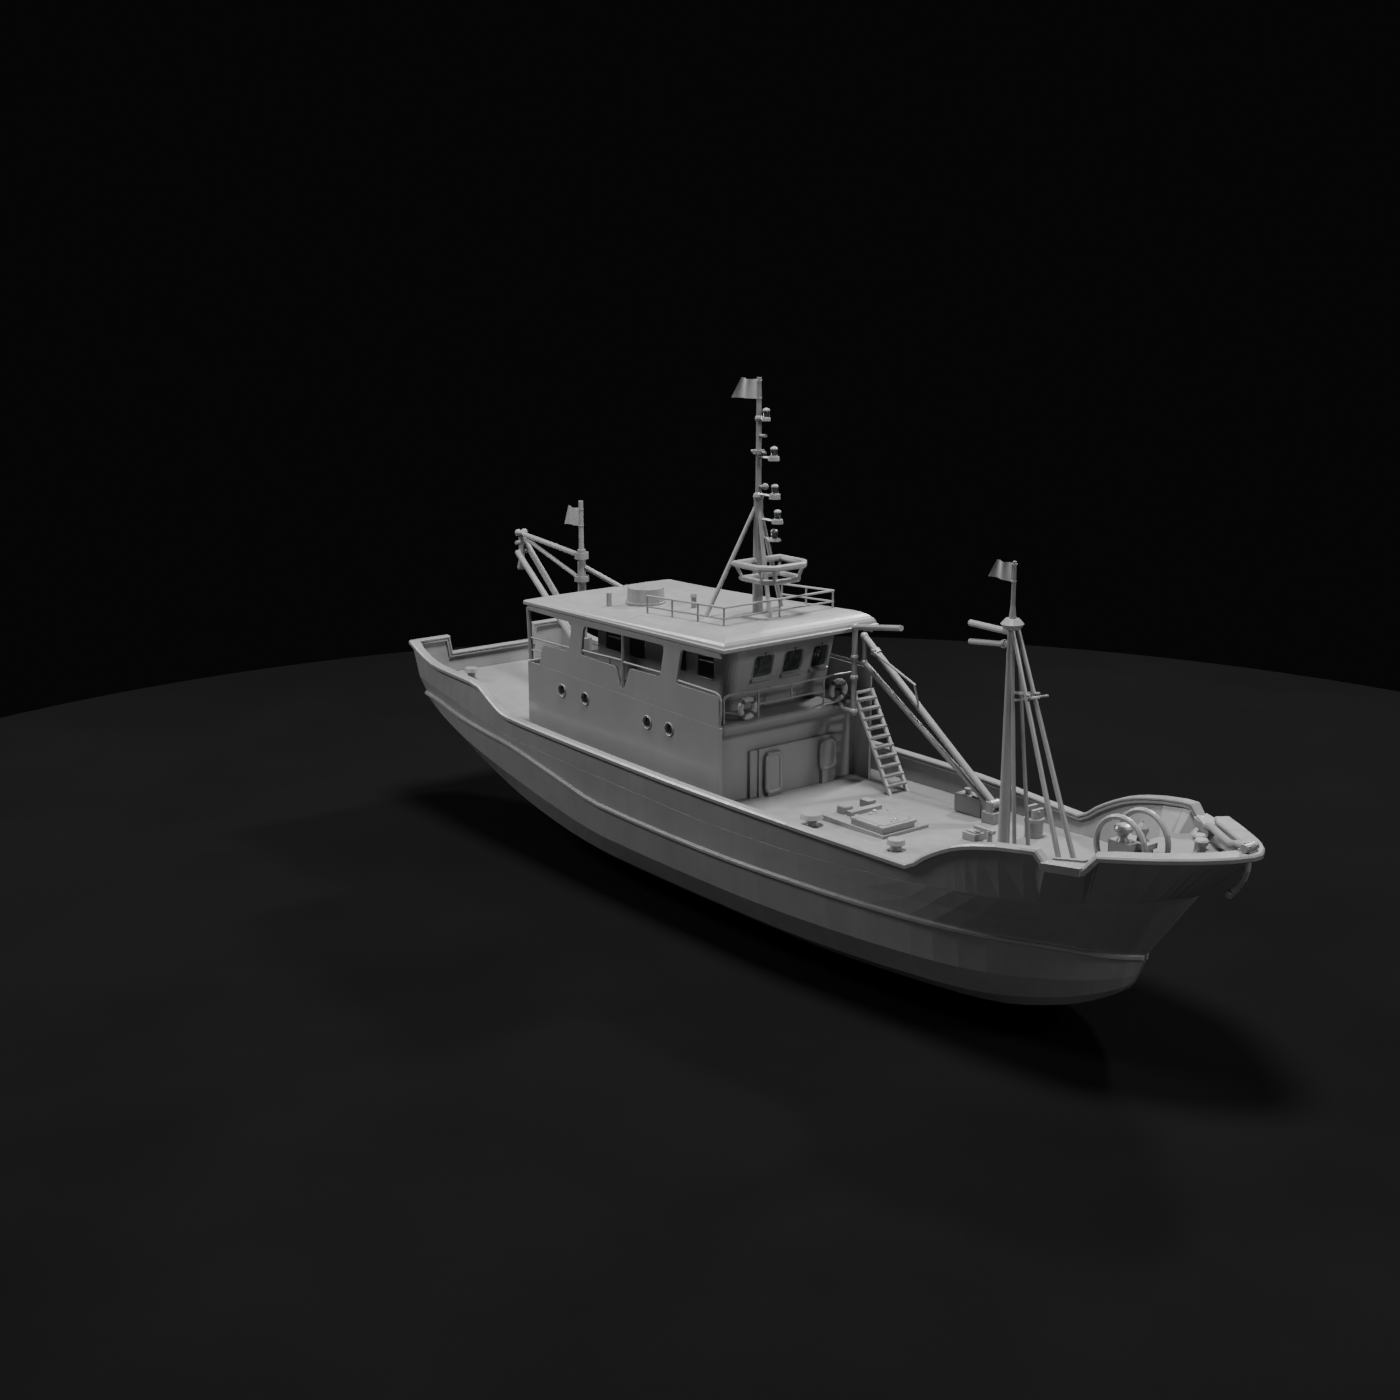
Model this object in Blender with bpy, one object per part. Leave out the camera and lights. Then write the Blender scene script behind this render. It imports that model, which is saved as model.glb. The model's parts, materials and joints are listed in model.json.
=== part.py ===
"""A steel fishing boat of the stern-deckhouse type, about 32 m long, as separate pieces.

Frame: metres, +X to the bow, +Y to port, +Z up, origin on the waterline amidships.
"""
import math

import bmesh
import bpy
from mathutils import Matrix, Vector

GAP = 0.0003            # gap between fixed pieces that touch
RUN = 0.0008            # gap at a pin, a seal or a stop

# Hull: one row per station, from the transom to the stem
HULL_COLUMNS = ("x_keel", "x_strake", "x_deck", "x_rail", "y_bilge", "y_strake", "y_deck", "y_rail",
                "z_keel", "z_strake", "z_deck", "z_rail")
HULL_STATIONS = [
    (-15.95, -16.05, -16.12, -16.20, 1.90, 2.72, 2.92, 3.10, 0.95, 1.40, 2.00, 3.28),
    (-14.60, -14.60, -14.60, -14.60, 2.20, 3.05, 3.16, 3.26, 0.20, 1.42, 1.90, 2.86),
    (-13.00, -13.00, -13.00, -13.00, 2.40, 3.26, 3.32, 3.35, -0.45, 1.26, 1.74, 2.76),
    (-11.40, -11.40, -11.40, -11.40, 2.55, 3.38, 3.41, 3.42, -1.05, 1.14, 1.54, 2.66),
    (-9.60, -9.60, -9.60, -9.60, 2.70, 3.47, 3.48, 3.49, -1.65, 1.02, 1.29, 2.02),
    (-7.00, -7.00, -7.00, -7.00, 2.85, 3.56, 3.56, 3.56, -2.10, 0.64, 1.235, 1.98),
    (-4.60, -4.60, -4.60, -4.60, 2.95, 3.62, 3.62, 3.62, -2.20, 0.30, 1.185, 1.95),
    (0.40, 0.40, 0.40, 0.40, 2.95, 3.68, 3.68, 3.68, -2.20, 0.25, 1.08, 1.92),
    (4.00, 4.00, 4.00, 4.00, 2.70, 3.58, 3.60, 3.62, -2.18, 0.30, 1.14, 1.92),
    (8.00, 8.00, 8.00, 8.10, 2.00, 3.05, 3.20, 3.28, -2.02, 0.30, 1.30, 1.88),
    (10.00, 10.00, 10.10, 10.30, 1.35, 2.38, 2.85, 3.16, -1.90, 0.26, 1.45, 2.88),
    (11.20, 11.55, 11.90, 12.40, 0.70, 1.42, 2.25, 2.87, -1.62, 0.18, 1.62, 3.16),
    (11.80, 12.30, 12.95, 13.70, 0.40, 0.84, 1.64, 2.14, -1.35, 0.10, 1.74, 3.26),
    (12.20, 12.80, 13.85, 15.05, 0.16, 0.34, 0.84, 1.14, -1.10, 0.06, 1.88, 3.36),
    (12.30, 12.94, 14.16, 15.60, 0.06, 0.14, 0.40, 0.60, -0.98, 0.05, 1.95, 3.42),
    (12.35, 13.02, 14.40, 15.90, 0.03, 0.04, 0.08, 0.14, -0.90, 0.04, 2.00, 3.46),
]
HULL_STEPS = 3
RAIL_STEPS = 3
RAIL_STEPS_STEEP = 7
STEEP_SPANS = (3, 9)     # spans between stations where the rail climbs in an S

# Rail height along the boat as (x, z), read between the stations too
RAIL_PROFILE = [
    (-16.20, 3.28), (-15.64, 3.08), (-14.59, 2.83), (-13.00, 2.76), (-11.54, 2.70), (-10.81, 2.38), (-9.93, 2.05),
    (-8.36, 1.99), (-5.42, 1.96), (-1.43, 1.93), (3.55, 1.93), (6.32, 1.88), (8.10, 1.84), (8.84, 2.30),
    (9.80, 2.75), (11.17, 3.07), (12.09, 3.16), (13.24, 3.22), (14.44, 3.30), (15.60, 3.42), (15.90, 3.46),
]
STRAKE_OUT = 0.07
STRAKE_HALF = 0.08
BULWARK_T = 0.10
CAP_OUT = 0.10
CAP_IN = 0.09
CAP_IN_BOW = 0.30
CAP_BOW_X = (13.15, 13.45)
CAP_HEIGHT = 0.17
STERN_LOW_Z = 2.68
STERN_LOW_HALF = 1.62
BOW_NOTCH = ((12.04, 1.0), (12.32, 0.0), (13.04, 0.0), (13.32, 1.0))   # x, share of the full rail height
BOW_NOTCH_Z = 2.86
FOREDECK_X = 11.60
BOW_FOCUS_X = 14.60      # the cap's breadth points here round the blunt tip
BOW_FOCUS_FROM_X = 15.30

# Lower deckhouse and the upper deck over it
HOUSE_AFT_X = -9.39
HOUSE_FRONT_X = -0.43
WALL_FRONT_X = 0.25
HOUSE_HALF = 2.88
WALL_T = 0.08
UPPER_DECK_T = 0.10
UPPER_DECK_FRONT_X = -0.12
EDGE_TUBE_R = 0.18
EDGE_TUBE_X = -0.06
EDGE_TUBE_HALF = 2.62
BUOY_Y = 1.72           # lifebuoys on the front railing
BUOY_R = 0.085

# Roof over the wheelhouse and its side passages
ROOF_AFT_X = -9.55
ROOF_FRONT_X = 0.44
ROOF_HALF = 2.91
ROOF_LIP_T = 0.14
ROOF_CROWN = 0.40
ROOF_SHOULDER = 0.75

# Wheelhouse inside the side screens
WH_FRONT_X = -0.83
WH_RAKE = 0.25
WH_AFT_X = -7.20
WH_STBD = -1.72
WH_PORT = 2.04
WH_WALL_T = 0.07
WH_CORNER_R = 0.38

DOOR_WIDTH = 0.74
DOOR_HEIGHT = 1.70
DOOR_T = 0.05

MAST_X = -1.60
FOREMAST_X = 8.30
AFT_POST_X = -10.50
SHAFT_Z = -1.97
SKEG_AFT_X = -10.80
STOCK_R = 0.095
PORTHOLES = [(-7.51, 3.15), (-6.28, 3.13), (-3.14, 3.04), (-2.09, 3.05)]   # x, z on each side
PORTHOLE_R = 0.17
WINDLASS_X = 12.42


def deck_z(x):
    """Height of the main deck, straight between the hull stations."""
    rows = [(row[2], row[10]) for row in HULL_STATIONS]
    for (xa, za), (xb, zb) in zip(rows, rows[1:]):
        if xa <= x <= xb:
            return za + (zb - za) * (x - xa) / (xb - xa)
    return rows[0][1] if x < rows[0][0] else rows[-1][1]


def foot_z(x, reach):
    """Lowest height at which a flat foot of this reach along X clears the sloping deck."""
    return max(deck_z(x - reach), deck_z(x + reach)) + GAP


def upper_deck_z(x):
    """Height of the upper deck's top, rising aft with the main deck."""
    return 3.55 - (x - WALL_FRONT_X) * 0.20 / 9.64


def roof_under_z(x):
    """Height of the roof's underside, highest in front."""
    return 5.60 + (x - ROOF_AFT_X) * 0.16 / 9.99 - ROOF_LIP_T / 2


def clear_scene():
    for item in list(bpy.data.objects):
        bpy.data.objects.remove(item, do_unlink=True)


clear_scene()
PARTS = bpy.data.collections.new("fishing_boat")
CUTTERS = bpy.data.collections.new("cutters")
bpy.context.scene.collection.children.link(PARTS)
bpy.context.scene.collection.children.link(CUTTERS)


def paint(name, colour, roughness=0.45, metallic=0.0):
    material = bpy.data.materials.new(name)
    material.use_nodes = True
    shader = material.node_tree.nodes["Principled BSDF"]
    shader.inputs["Base Color"].default_value = (*colour, 1.0)
    shader.inputs["Roughness"].default_value = roughness
    shader.inputs["Metallic"].default_value = metallic
    return material


def add_object(name, mesh, material=None, collection=PARTS):
    item = bpy.data.objects.new(name, mesh)
    collection.objects.link(item)
    if material is not None:
        mesh.materials.clear()
        mesh.materials.append(material)
    return item


def mesh_from(bm, name):
    bmesh.ops.recalc_face_normals(bm, faces=bm.faces)
    mesh = bpy.data.meshes.new(name)
    bm.to_mesh(mesh)
    bm.free()
    return mesh


def box_bm(low, high):
    bm = bmesh.new()
    size = [b - a for a, b in zip(low, high)]
    middle = [(a + b) / 2 for a, b in zip(low, high)]
    bmesh.ops.create_cube(bm, size=1.0)
    bmesh.ops.scale(bm, vec=size, verts=bm.verts)
    bmesh.ops.translate(bm, vec=middle, verts=bm.verts)
    return bm


def rod_bm(start, end, radius, radius_end=None, sides=12):
    """A straight round bar or cone between two points."""
    a, b = Vector(start), Vector(end)
    bm = bmesh.new()
    top = radius if radius_end is None else radius_end
    bmesh.ops.create_cone(bm, cap_ends=True, segments=sides, radius1=radius, radius2=top, depth=(b - a).length)
    turn = Vector((0, 0, 1)).rotation_difference(b - a).to_matrix().to_4x4() @ Matrix.Rotation(0.13, 4, "Z")
    bmesh.ops.transform(bm, matrix=Matrix.Translation((a + b) / 2) @ turn, verts=bm.verts)
    return bm


def ball_bm(centre, radius, sides=12):
    bm = bmesh.new()
    bmesh.ops.create_uvsphere(bm, u_segments=sides, v_segments=max(6, sides // 2), radius=radius)
    bmesh.ops.rotate(bm, matrix=Matrix.Rotation(0.07, 3, "Z"), verts=bm.verts)
    bmesh.ops.translate(bm, vec=centre, verts=bm.verts)
    return bm


def prism_bm(outline, low, high, axis="Y"):
    """A flat outline extruded from low to high along an axis.

    The outline holds (x, z) points for Y, (y, z) for X and (x, y) for Z.
    """
    bm = bmesh.new()

    def place(point, level):
        if axis == "Y":
            return (point[0], level, point[1])
        if axis == "X":
            return (level, point[0], point[1])
        return (point[0], point[1], level)

    first = [bm.verts.new(place(point, low)) for point in outline]
    second = [bm.verts.new(place(point, high)) for point in outline]
    bm.faces.new(first)
    bm.faces.new(second[::-1])
    count = len(outline)
    for i in range(count):
        j = (i + 1) % count
        bm.faces.new((first[i], second[i], second[j], first[j]))
    return bm


def tube_bm(points, radius, sides=10, closed=False):
    """A bent tube along points, with flat ends, or a ring when closed."""
    bm = bmesh.new()
    path = [Vector(p) for p in points]
    count = len(path)
    rings = []
    normal = None
    last_along = None
    for i, point in enumerate(path):
        before = path[i - 1] if (closed or i > 0) else point
        after = path[(i + 1) % count] if (closed or i < count - 1) else point
        along = ((point - before).normalized() if point != before else Vector()) + (
            (after - point).normalized() if after != point else Vector())
        along.normalize()
        if normal is None:
            guess = Vector((0, 0, 1)) if abs(along.z) < 0.9 else Vector((1, 0, 0))
            normal = along.cross(guess).normalized()
        else:
            normal = last_along.rotation_difference(along) @ normal
        last_along = along.copy()
        side = along.cross(normal)
        if before != point and after != point:
            half = (point - before).angle(after - point) / 2
        else:
            half = 0.0
        bend = (after - point).normalized() - (point - before).normalized() if half > 1e-4 else Vector()
        out = bend.normalized() if bend.length > 1e-6 else Vector()
        ring = []
        for k in range(sides):
            angle = 2 * math.pi * (k + 0.31) / sides
            offset = normal * (radius * math.cos(angle)) + side * (radius * math.sin(angle))
            if half > 1e-4:
                stretch = min(1.0 / math.cos(half), 2.0) - 1.0
                offset = offset + out * (offset.dot(out) * stretch)
            ring.append(bm.verts.new(point + offset))
        rings.append(ring)
    pairs = list(zip(rings, rings[1:]))
    if closed:
        pairs.append((rings[-1], rings[0]))
    for a, b in pairs:
        for k in range(sides):
            bm.faces.new((a[k], a[(k + 1) % sides], b[(k + 1) % sides], b[k]))
    if not closed:
        bm.faces.new(rings[0][::-1])
        bm.faces.new(rings[-1])
    return bm


def bmesh_of(item):
    """A working copy of an object's shape."""
    bm = bmesh.new()
    bm.from_mesh(item.data)
    return bm


def cutter_from(bm, name):
    item = add_object(name, mesh_from(bm, name), None, CUTTERS)
    item.hide_render = True
    item.display_type = "WIRE"
    return item


def boolean(item, other, kind):
    modifier = item.modifiers.new(kind.lower(), "BOOLEAN")
    modifier.operation = kind
    modifier.object = other
    modifier.solver = "EXACT"


def settle(item):
    """Turns an object's modifiers into its mesh."""
    graph = bpy.context.evaluated_depsgraph_get()
    graph.update()
    mesh = bpy.data.meshes.new_from_object(item.evaluated_get(graph))
    item.modifiers.clear()
    item.data = mesh


def joined(name, shapes, material):
    """One solid from overlapping shapes."""
    item = add_object(name, mesh_from(shapes[0], name), material)
    helpers = []
    for i, shape in enumerate(shapes[1:]):
        helper = cutter_from(shape, f"{name}_piece_{i}")
        boolean(item, helper, "UNION")
        helpers.append(helper)
    settle(item)
    item.data.materials.clear()
    item.data.materials.append(material)
    for helper in helpers:
        bpy.data.objects.remove(helper, do_unlink=True)
    return item


def cut(item, shapes, material):
    helpers = []
    for i, shape in enumerate(shapes):
        helper = cutter_from(shape, f"{item.name}_cut_{i}")
        boolean(item, helper, "DIFFERENCE")
        helpers.append(helper)
    settle(item)
    item.data.materials.clear()
    item.data.materials.append(material)
    for helper in helpers:
        bpy.data.objects.remove(helper, do_unlink=True)
    return item


def without_offcuts(item):
    """Drops the small loose pieces that a cut has left beside the main body."""
    bm = bmesh_of(item)
    left = set(bm.verts)
    bodies = []
    while left:
        body = {left.pop()}
        edge = list(body)
        while edge:
            for link in edge.pop().link_edges:
                for vert in link.verts:
                    if vert in left:
                        left.remove(vert)
                        body.add(vert)
                        edge.append(vert)
        bodies.append(body)
    main = max(bodies, key=len)
    bmesh.ops.delete(bm, geom=[vert for vert in bm.verts if vert not in main], context="VERTS")
    bm.to_mesh(item.data)
    bm.free()


def set_origin(item, point):
    """Moves an object's origin to a point and leaves its shape where it is."""
    shift = Vector(point)
    item.data.transform(Matrix.Translation(-shift))
    item.location = shift
    return item


def smooth(item, angle=40):
    item.data.shade_smooth()
    item.data.set_sharp_from_angle(angle=math.radians(angle))
    return item


PAINT = paint("hull_paint", (0.34, 0.34, 0.34), 0.42)
HOUSE_PAINT = paint("house_paint", (0.40, 0.40, 0.40), 0.40)
DECK_PAINT = paint("deck_paint", (0.30, 0.30, 0.30), 0.60)
STEEL = paint("painted_steel", (0.36, 0.36, 0.36), 0.38)
BRONZE = paint("bronze", (0.33, 0.32, 0.30), 0.35, 0.6)


def foredeck_z(x):
    """Height of the raised deck in the bow."""
    return 2.32 + 0.18 * (x - FOREDECK_X)


def smooth_between(points, x):
    """Height on a smooth curve through (x, z) points that never overshoots them."""
    last = len(points) - 1
    k = max(0, min(last - 1, sum(1 for point in points[1:] if point[0] <= x)))
    (xa, za), (xb, zb) = points[k], points[k + 1]
    span = xb - xa
    slopes = []
    for j in (k, k + 1):
        (x0, z0), (x1, z1) = points[max(0, j - 1)], points[min(last, j + 1)]
        slopes.append((z1 - z0) / (x1 - x0) * span)
    limit = 3 * abs(zb - za)
    slope_a, slope_b = (max(-limit, min(limit, slope)) for slope in slopes)
    t = (x - xa) / span
    return ((2 * t ** 3 - 3 * t ** 2 + 1) * za + (t ** 3 - 2 * t ** 2 + t) * slope_a
            + (3 * t ** 2 - 2 * t ** 3) * zb + (t ** 3 - t ** 2) * slope_b)


def hull_rows(steps, steep_steps):
    """The station table with smooth rows added between, as dictionaries."""
    rows = []
    table = HULL_STATIONS
    last = len(table) - 1
    straight = ("x_deck", "z_deck")
    for i in range(last):
        before, here, there, after = (table[max(0, i - 1)], table[i], table[i + 1], table[min(last, i + 2)])
        count = steep_steps if i in STEEP_SPANS else steps
        for step in range(count):
            t = step / count
            row = {}
            for k, column in enumerate(HULL_COLUMNS):
                if column in straight:
                    row[column] = here[k] + (there[k] - here[k]) * t
                    continue
                span = there[0] - here[0]
                slope_a = (there[k] - before[k]) / max(there[0] - before[0], 0.05) * span
                slope_b = (after[k] - here[k]) / max(after[0] - here[0], 0.05) * span
                limit = 3 * abs(there[k] - here[k])
                slope_a = max(-limit, min(limit, slope_a))
                slope_b = max(-limit, min(limit, slope_b))
                h00 = 2 * t ** 3 - 3 * t ** 2 + 1
                h10 = t ** 3 - 2 * t ** 2 + t
                h01 = -2 * t ** 3 + 3 * t ** 2
                h11 = t ** 3 - t ** 2
                row[column] = h00 * here[k] + h10 * slope_a + h01 * there[k] + h11 * slope_b
            rows.append(row)
    rows.append(dict(zip(HULL_COLUMNS, table[last])))
    return rows


ROWS = hull_rows(HULL_STEPS, HULL_STEPS)


def keel_z(x):
    """Height of the hull's bottom on the centreline."""
    for a, b in zip(ROWS, ROWS[1:]):
        if a["x_keel"] <= x <= b["x_keel"]:
            share = (x - a["x_keel"]) / (b["x_keel"] - a["x_keel"])
            return a["z_keel"] + (b["z_keel"] - a["z_keel"]) * share
    raise ValueError("x is off the keel")


def half_section(row):
    """Starboard half of a hull section from the keel to the deck edge."""
    points = []
    bottom_steps = 5
    for i in range(bottom_steps + 1):
        t = i / bottom_steps
        angle = t * math.pi / 2
        y = row["y_strake"] * math.sin(angle) ** 0.85
        lift = (1 - math.cos(angle)) ** (1.15 + 0.9 * (1 - row["y_bilge"] / max(row["y_strake"], 0.05)))
        top = row["z_strake"] - STRAKE_HALF
        z = row["z_keel"] + (top - row["z_keel"]) * lift
        x = row["x_keel"] + (row["x_strake"] - row["x_keel"]) * t ** 1.3
        points.append((x, y, z))
    out = min(STRAKE_OUT, row["y_strake"])
    xs, zs, ys = row["x_strake"], row["z_strake"], row["y_strake"]
    points.append((xs, ys + out, zs - STRAKE_HALF * 0.5))
    points.append((xs, ys + out, zs + STRAKE_HALF * 0.5))
    points.append((xs + 0.005, ys, zs + STRAKE_HALF))
    points.append(((xs + row["x_deck"]) / 2, (ys + row["y_deck"]) / 2,
                   (zs + STRAKE_HALF + row["z_deck"]) / 2))
    points.append((row["x_deck"], row["y_deck"], row["z_deck"] - GAP))
    return points


def hull():
    bm = bmesh.new()
    rings = []
    for row in ROWS:
        half = half_section(row)
        ring = [bm.verts.new((x, -y, z)) for x, y, z in half]
        ring += [bm.verts.new((x, y, z)) for x, y, z in reversed(half[1:])]
        rings.append(ring)
    count = len(rings[0])
    for a, b in zip(rings, rings[1:]):
        for k in range(count):
            j = (k + 1) % count
            bm.faces.new((a[k], a[j], b[j], b[k]))
    bm.faces.new(rings[0])
    bm.faces.new(rings[-1][::-1])
    item = add_object("hull", mesh_from(bm, "hull"), PAINT)
    return smooth(item, 35)


# Lengths of the bulwark between its welded butts: name, aft end, fore end, side
BULWARK_LENGTHS = [
    ("bulwark_stern", -17.0, -11.0, 0),
    ("bulwark_stbd", -11.0, 9.6, -1),
    ("bulwark_port", -11.0, 9.6, 1),
    ("bulwark_bow", 9.6, 17.0, 0),
]


def notch_share(x):
    """Share of the rail's full height that is left at the mooring notch."""
    for (xa, a), (xb, b) in zip(BOW_NOTCH, BOW_NOTCH[1:]):
        if xa <= x <= xb:
            return a + (b - a) * (x - xa) / (xb - xa)
    return 1.0


def rail_stations():
    """Deck edge and rail edge points of one side, from the middle of the transom to the stem."""
    rows = hull_rows(RAIL_STEPS, RAIL_STEPS_STEEP)
    columns = ("x_deck", "y_deck", "z_deck", "x_rail", "y_rail")
    side = [[row[column] for column in columns] for row in rows]
    for x, _ in BOW_NOTCH:
        at = next(i for i, item in enumerate(side) if item[3] > x)
        a, b = side[at - 1], side[at]
        t = (x - a[3]) / (b[3] - a[3])
        if 0.02 < t < 0.98:
            side.insert(at, [p + (q - p) * t for p, q in zip(a, b)])
    stations = []
    xd, _, zd, xr, _ = side[0]
    top = RAIL_PROFILE[0][1]
    for y, z in ((0.0, STERN_LOW_Z), (STERN_LOW_HALF - 0.35, STERN_LOW_Z), (STERN_LOW_HALF, STERN_LOW_Z),
                 (STERN_LOW_HALF + 0.10, top), (STERN_LOW_HALF + 0.60, top)):
        stations.append((Vector((xd, y, zd)), Vector((xr, y, z))))
    for xd, yd, zd, xr, yr in side:
        full = smooth_between(RAIL_PROFILE, xr)
        z = BOW_NOTCH_Z + (full - BOW_NOTCH_Z) * notch_share(xr)
        stations.append((Vector((xd, yd, zd)), Vector((xr, yr, z))))
    return stations


def rail_loop():
    """Both sides of the rail as one closed loop: deck point, rail point, inward step and up step."""
    stations = rail_stations()
    flip = Vector((1, -1, 1))
    loop = [(d * flip, r * flip) for d, r in stations] + [(d, r) for d, r in reversed(stations[1:])]
    count = len(loop)
    found = []
    for i, (d, r) in enumerate(loop):
        first = r - loop[i - 1][1]
        second = loop[(i + 1) % count][1] - r
        inward = []
        for run in (first, second):
            flat = Vector((run.x, run.y, 0)).normalized()
            inward.append(Vector((-flat.y, flat.x, 0)))
        step_in = (inward[0] + inward[1]).normalized()
        step_in /= max(step_in.dot(inward[0]), 0.62)
        if r.x > BOW_FOCUS_FROM_X:
            step_in = (Vector((BOW_FOCUS_X, 0, 0)) - Vector((r.x, r.y, 0))).normalized()
        ups = [run.normalized().cross(side) for run, side in zip((first, second), inward)]
        step_up = (ups[0] + ups[1]).normalized()
        step_up /= max(step_up.dot(ups[0]), 0.62)
        found.append((d, r, step_in, step_up))
    return found


def bulwark():
    """Bulwark plating with its thick cap rail, all the way round, in four lengths."""
    bm = bmesh.new()
    rings = []
    for d, r, inward, up in rail_loop():
        t, h = BULWARK_T, CAP_HEIGHT
        share = max(0.0, min(1.0, (r.x - CAP_BOW_X[0]) / (CAP_BOW_X[1] - CAP_BOW_X[0])))
        inner = t + CAP_IN + (CAP_IN_BOW - CAP_IN) * share
        low = r - up * h
        outline = ((CAP_OUT * 0.7, 0.0), (CAP_OUT, 0.03), (CAP_OUT, h - 0.05), (CAP_OUT * 0.6, h),
                   (-inner + 0.04, h), (-inner, h - 0.03), (-inner, h - 0.075), (-inner + 0.035, h - 0.095),
                   (-inner + 0.01, h - 0.115), (-inner + 0.01, 0.0), (-t, -0.01))
        points = [d.copy(), low.copy()]
        points += [low - inward * out + up * rise for out, rise in outline]
        points.append(d + inward * t)
        rings.append([bm.verts.new(point) for point in points])
    count, size = len(rings), len(rings[0])
    for i in range(count):
        a, b = rings[i], rings[(i + 1) % count]
        for k in range(size):
            j = (k + 1) % size
            bm.faces.new((a[k], a[j], b[j], b[k]))
    bmesh.ops.triangulate(bm, faces=bm.faces)
    ring = mesh_from(bm, "bulwark")
    for name, x0, x1, side in BULWARK_LENGTHS:
        y0, y1 = {-1: (-5.0, 0.0), 0: (-5.0, 5.0), 1: (0.0, 5.0)}[side]
        item = add_object(name, ring.copy(), PAINT)
        keep = cutter_from(box_bm((x0 + GAP / 2, y0, 0), (x1 - GAP / 2, y1, 5)), f"{name}_length")
        boolean(item, keep, "INTERSECT")
        settle(item)
        item.data.materials.clear()
        item.data.materials.append(PAINT)
        bpy.data.objects.remove(keep, do_unlink=True)
        smooth(item, 40)
    fairlead_pads(bpy.data.objects["bulwark_bow"])


PAD_X = (12.24, 13.10)
PAD_Z = (2.70, 2.90)


def rail_y(x):
    """Half breadth of the rail line at a place along the boat."""
    rows = [(r.x, r.y) for _, r in rail_stations() if r.y > 0]
    for (xa, ya), (xb, yb) in zip(rows, rows[1:]):
        if xa <= x <= xb and xb > xa:
            return ya + (yb - ya) * (x - xa) / (xb - xa)
    return rows[-1][1]


def fairlead_pads(rail):
    """Thick mooring pads in the two notches, reaching over the rail to a ledge inside."""
    helpers = []
    x0, x1 = PAD_X
    for side in (-1, 1):
        a, b = rail_y(x0), rail_y(x1)
        outline = [(x0, side * (a + 0.17)), (x1, side * (b + 0.17)), (x1, side * (b - 0.50)), (x0, side * (a - 0.34))]
        pads = [prism_bm(outline, *PAD_Z, "Z")]
        lip = [(x0 + 0.05, side * (a - 0.21)), (x1 - 0.22, side * (b - 0.26)),
               (x1 - 0.22, side * (b - 0.39)), (x0 + 0.05, side * (a - 0.31))]
        pads.append(prism_bm(lip, PAD_Z[1] - 0.02, PAD_Z[1] + 0.05, "Z"))
        for shape in pads:
            helper = cutter_from(shape, f"pad_{len(helpers)}")
            boolean(rail, helper, "UNION")
            helpers.append(helper)
    settle(rail)
    rail.data.materials.clear()
    rail.data.materials.append(PAINT)
    for helper in helpers:
        bpy.data.objects.remove(helper, do_unlink=True)


def foredeck():
    """Raised deck in the bow, fitted between the bulwarks."""
    bm = bmesh.new()
    loop = rail_loop()
    half = [item for item in loop if item[1].y > 0 and item[1].x > FOREDECK_X - 1.5 and item[1].x < 15.0]
    rings = []
    for d, r, inward, up in half:
        low = r - up * CAP_HEIGHT
        outer = [point + inward * (BULWARK_T * 0.5) for point in (d, low)]
        outer[0].z += GAP
        rings.append([bm.verts.new(p) for p in (outer[0], outer[1], outer[1] * Vector((1, -1, 1)),
                                                outer[0] * Vector((1, -1, 1)))])
    for a, b in zip(rings, rings[1:]):
        for k in range(4):
            j = (k + 1) % 4
            bm.faces.new((a[k], a[j], b[j], b[k]))
    bm.faces.new(rings[0])
    bm.faces.new(rings[-1][::-1])
    item = add_object("foredeck", mesh_from(bm, "foredeck"), DECK_PAINT)
    x0, x1 = FOREDECK_X, 14.6
    outline = [(x0, 0.8), (x1, 0.8), (x1, foredeck_z(x1)), (x0, foredeck_z(x0))]
    keep = cutter_from(prism_bm(outline, -4, 4), "foredeck_keep")
    boolean(item, keep, "INTERSECT")
    settle(item)
    bpy.data.objects.remove(keep, do_unlink=True)
    rail = bmesh_of(bpy.data.objects["bulwark_bow"])
    for vert in rail.verts:
        vert.co.y *= 0.9992
        vert.co.x -= GAP
        vert.co.z -= 2 * GAP
    cut(item, [rail], DECK_PAINT)
    without_offcuts(item)


hull()
bulwark()
foredeck()


def sloped_box(name, x0, x1, y0, y1, under, over, material, extra=()):
    """A block between two height functions; extra x values bend its underside."""
    xs = sorted({x0, x1, *[x for x in extra if x0 < x < x1]})
    outline = [(x, under(x) + GAP) for x in xs] + [(x1, over(x1)), (x0, over(x0))]
    return add_object(name, mesh_from(prism_bm(outline, y0, y1), name), material)


DECK_BENDS = [row[2] for row in HULL_STATIONS]


def upper_deck_under(x):
    return upper_deck_z(x) - UPPER_DECK_T - GAP


def deckhouse():
    """Walls of the lower house, with the front wall set back between the side walls."""
    inner = HOUSE_HALF - WALL_T - GAP
    house = sloped_box("deckhouse", HOUSE_AFT_X, HOUSE_FRONT_X, -inner, inner, deck_z, upper_deck_under,
                       HOUSE_PAINT, DECK_BENDS)
    door_z = deck_z(HOUSE_AFT_X) + 0.20
    room = box_bm((HOUSE_AFT_X + WALL_T, -inner + WALL_T, 0.5), (HOUSE_FRONT_X - WALL_T, inner - WALL_T, 4.0))
    doorway = box_bm((HOUSE_AFT_X - 0.2, -0.32, door_z + 0.05), (HOUSE_AFT_X + 0.2, 0.32, door_z + 1.64))
    cut(house, [room, doorway], HOUSE_PAINT)
    portholes(house)
    aft_door("house_door", HOUSE_AFT_X, door_z)


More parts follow.
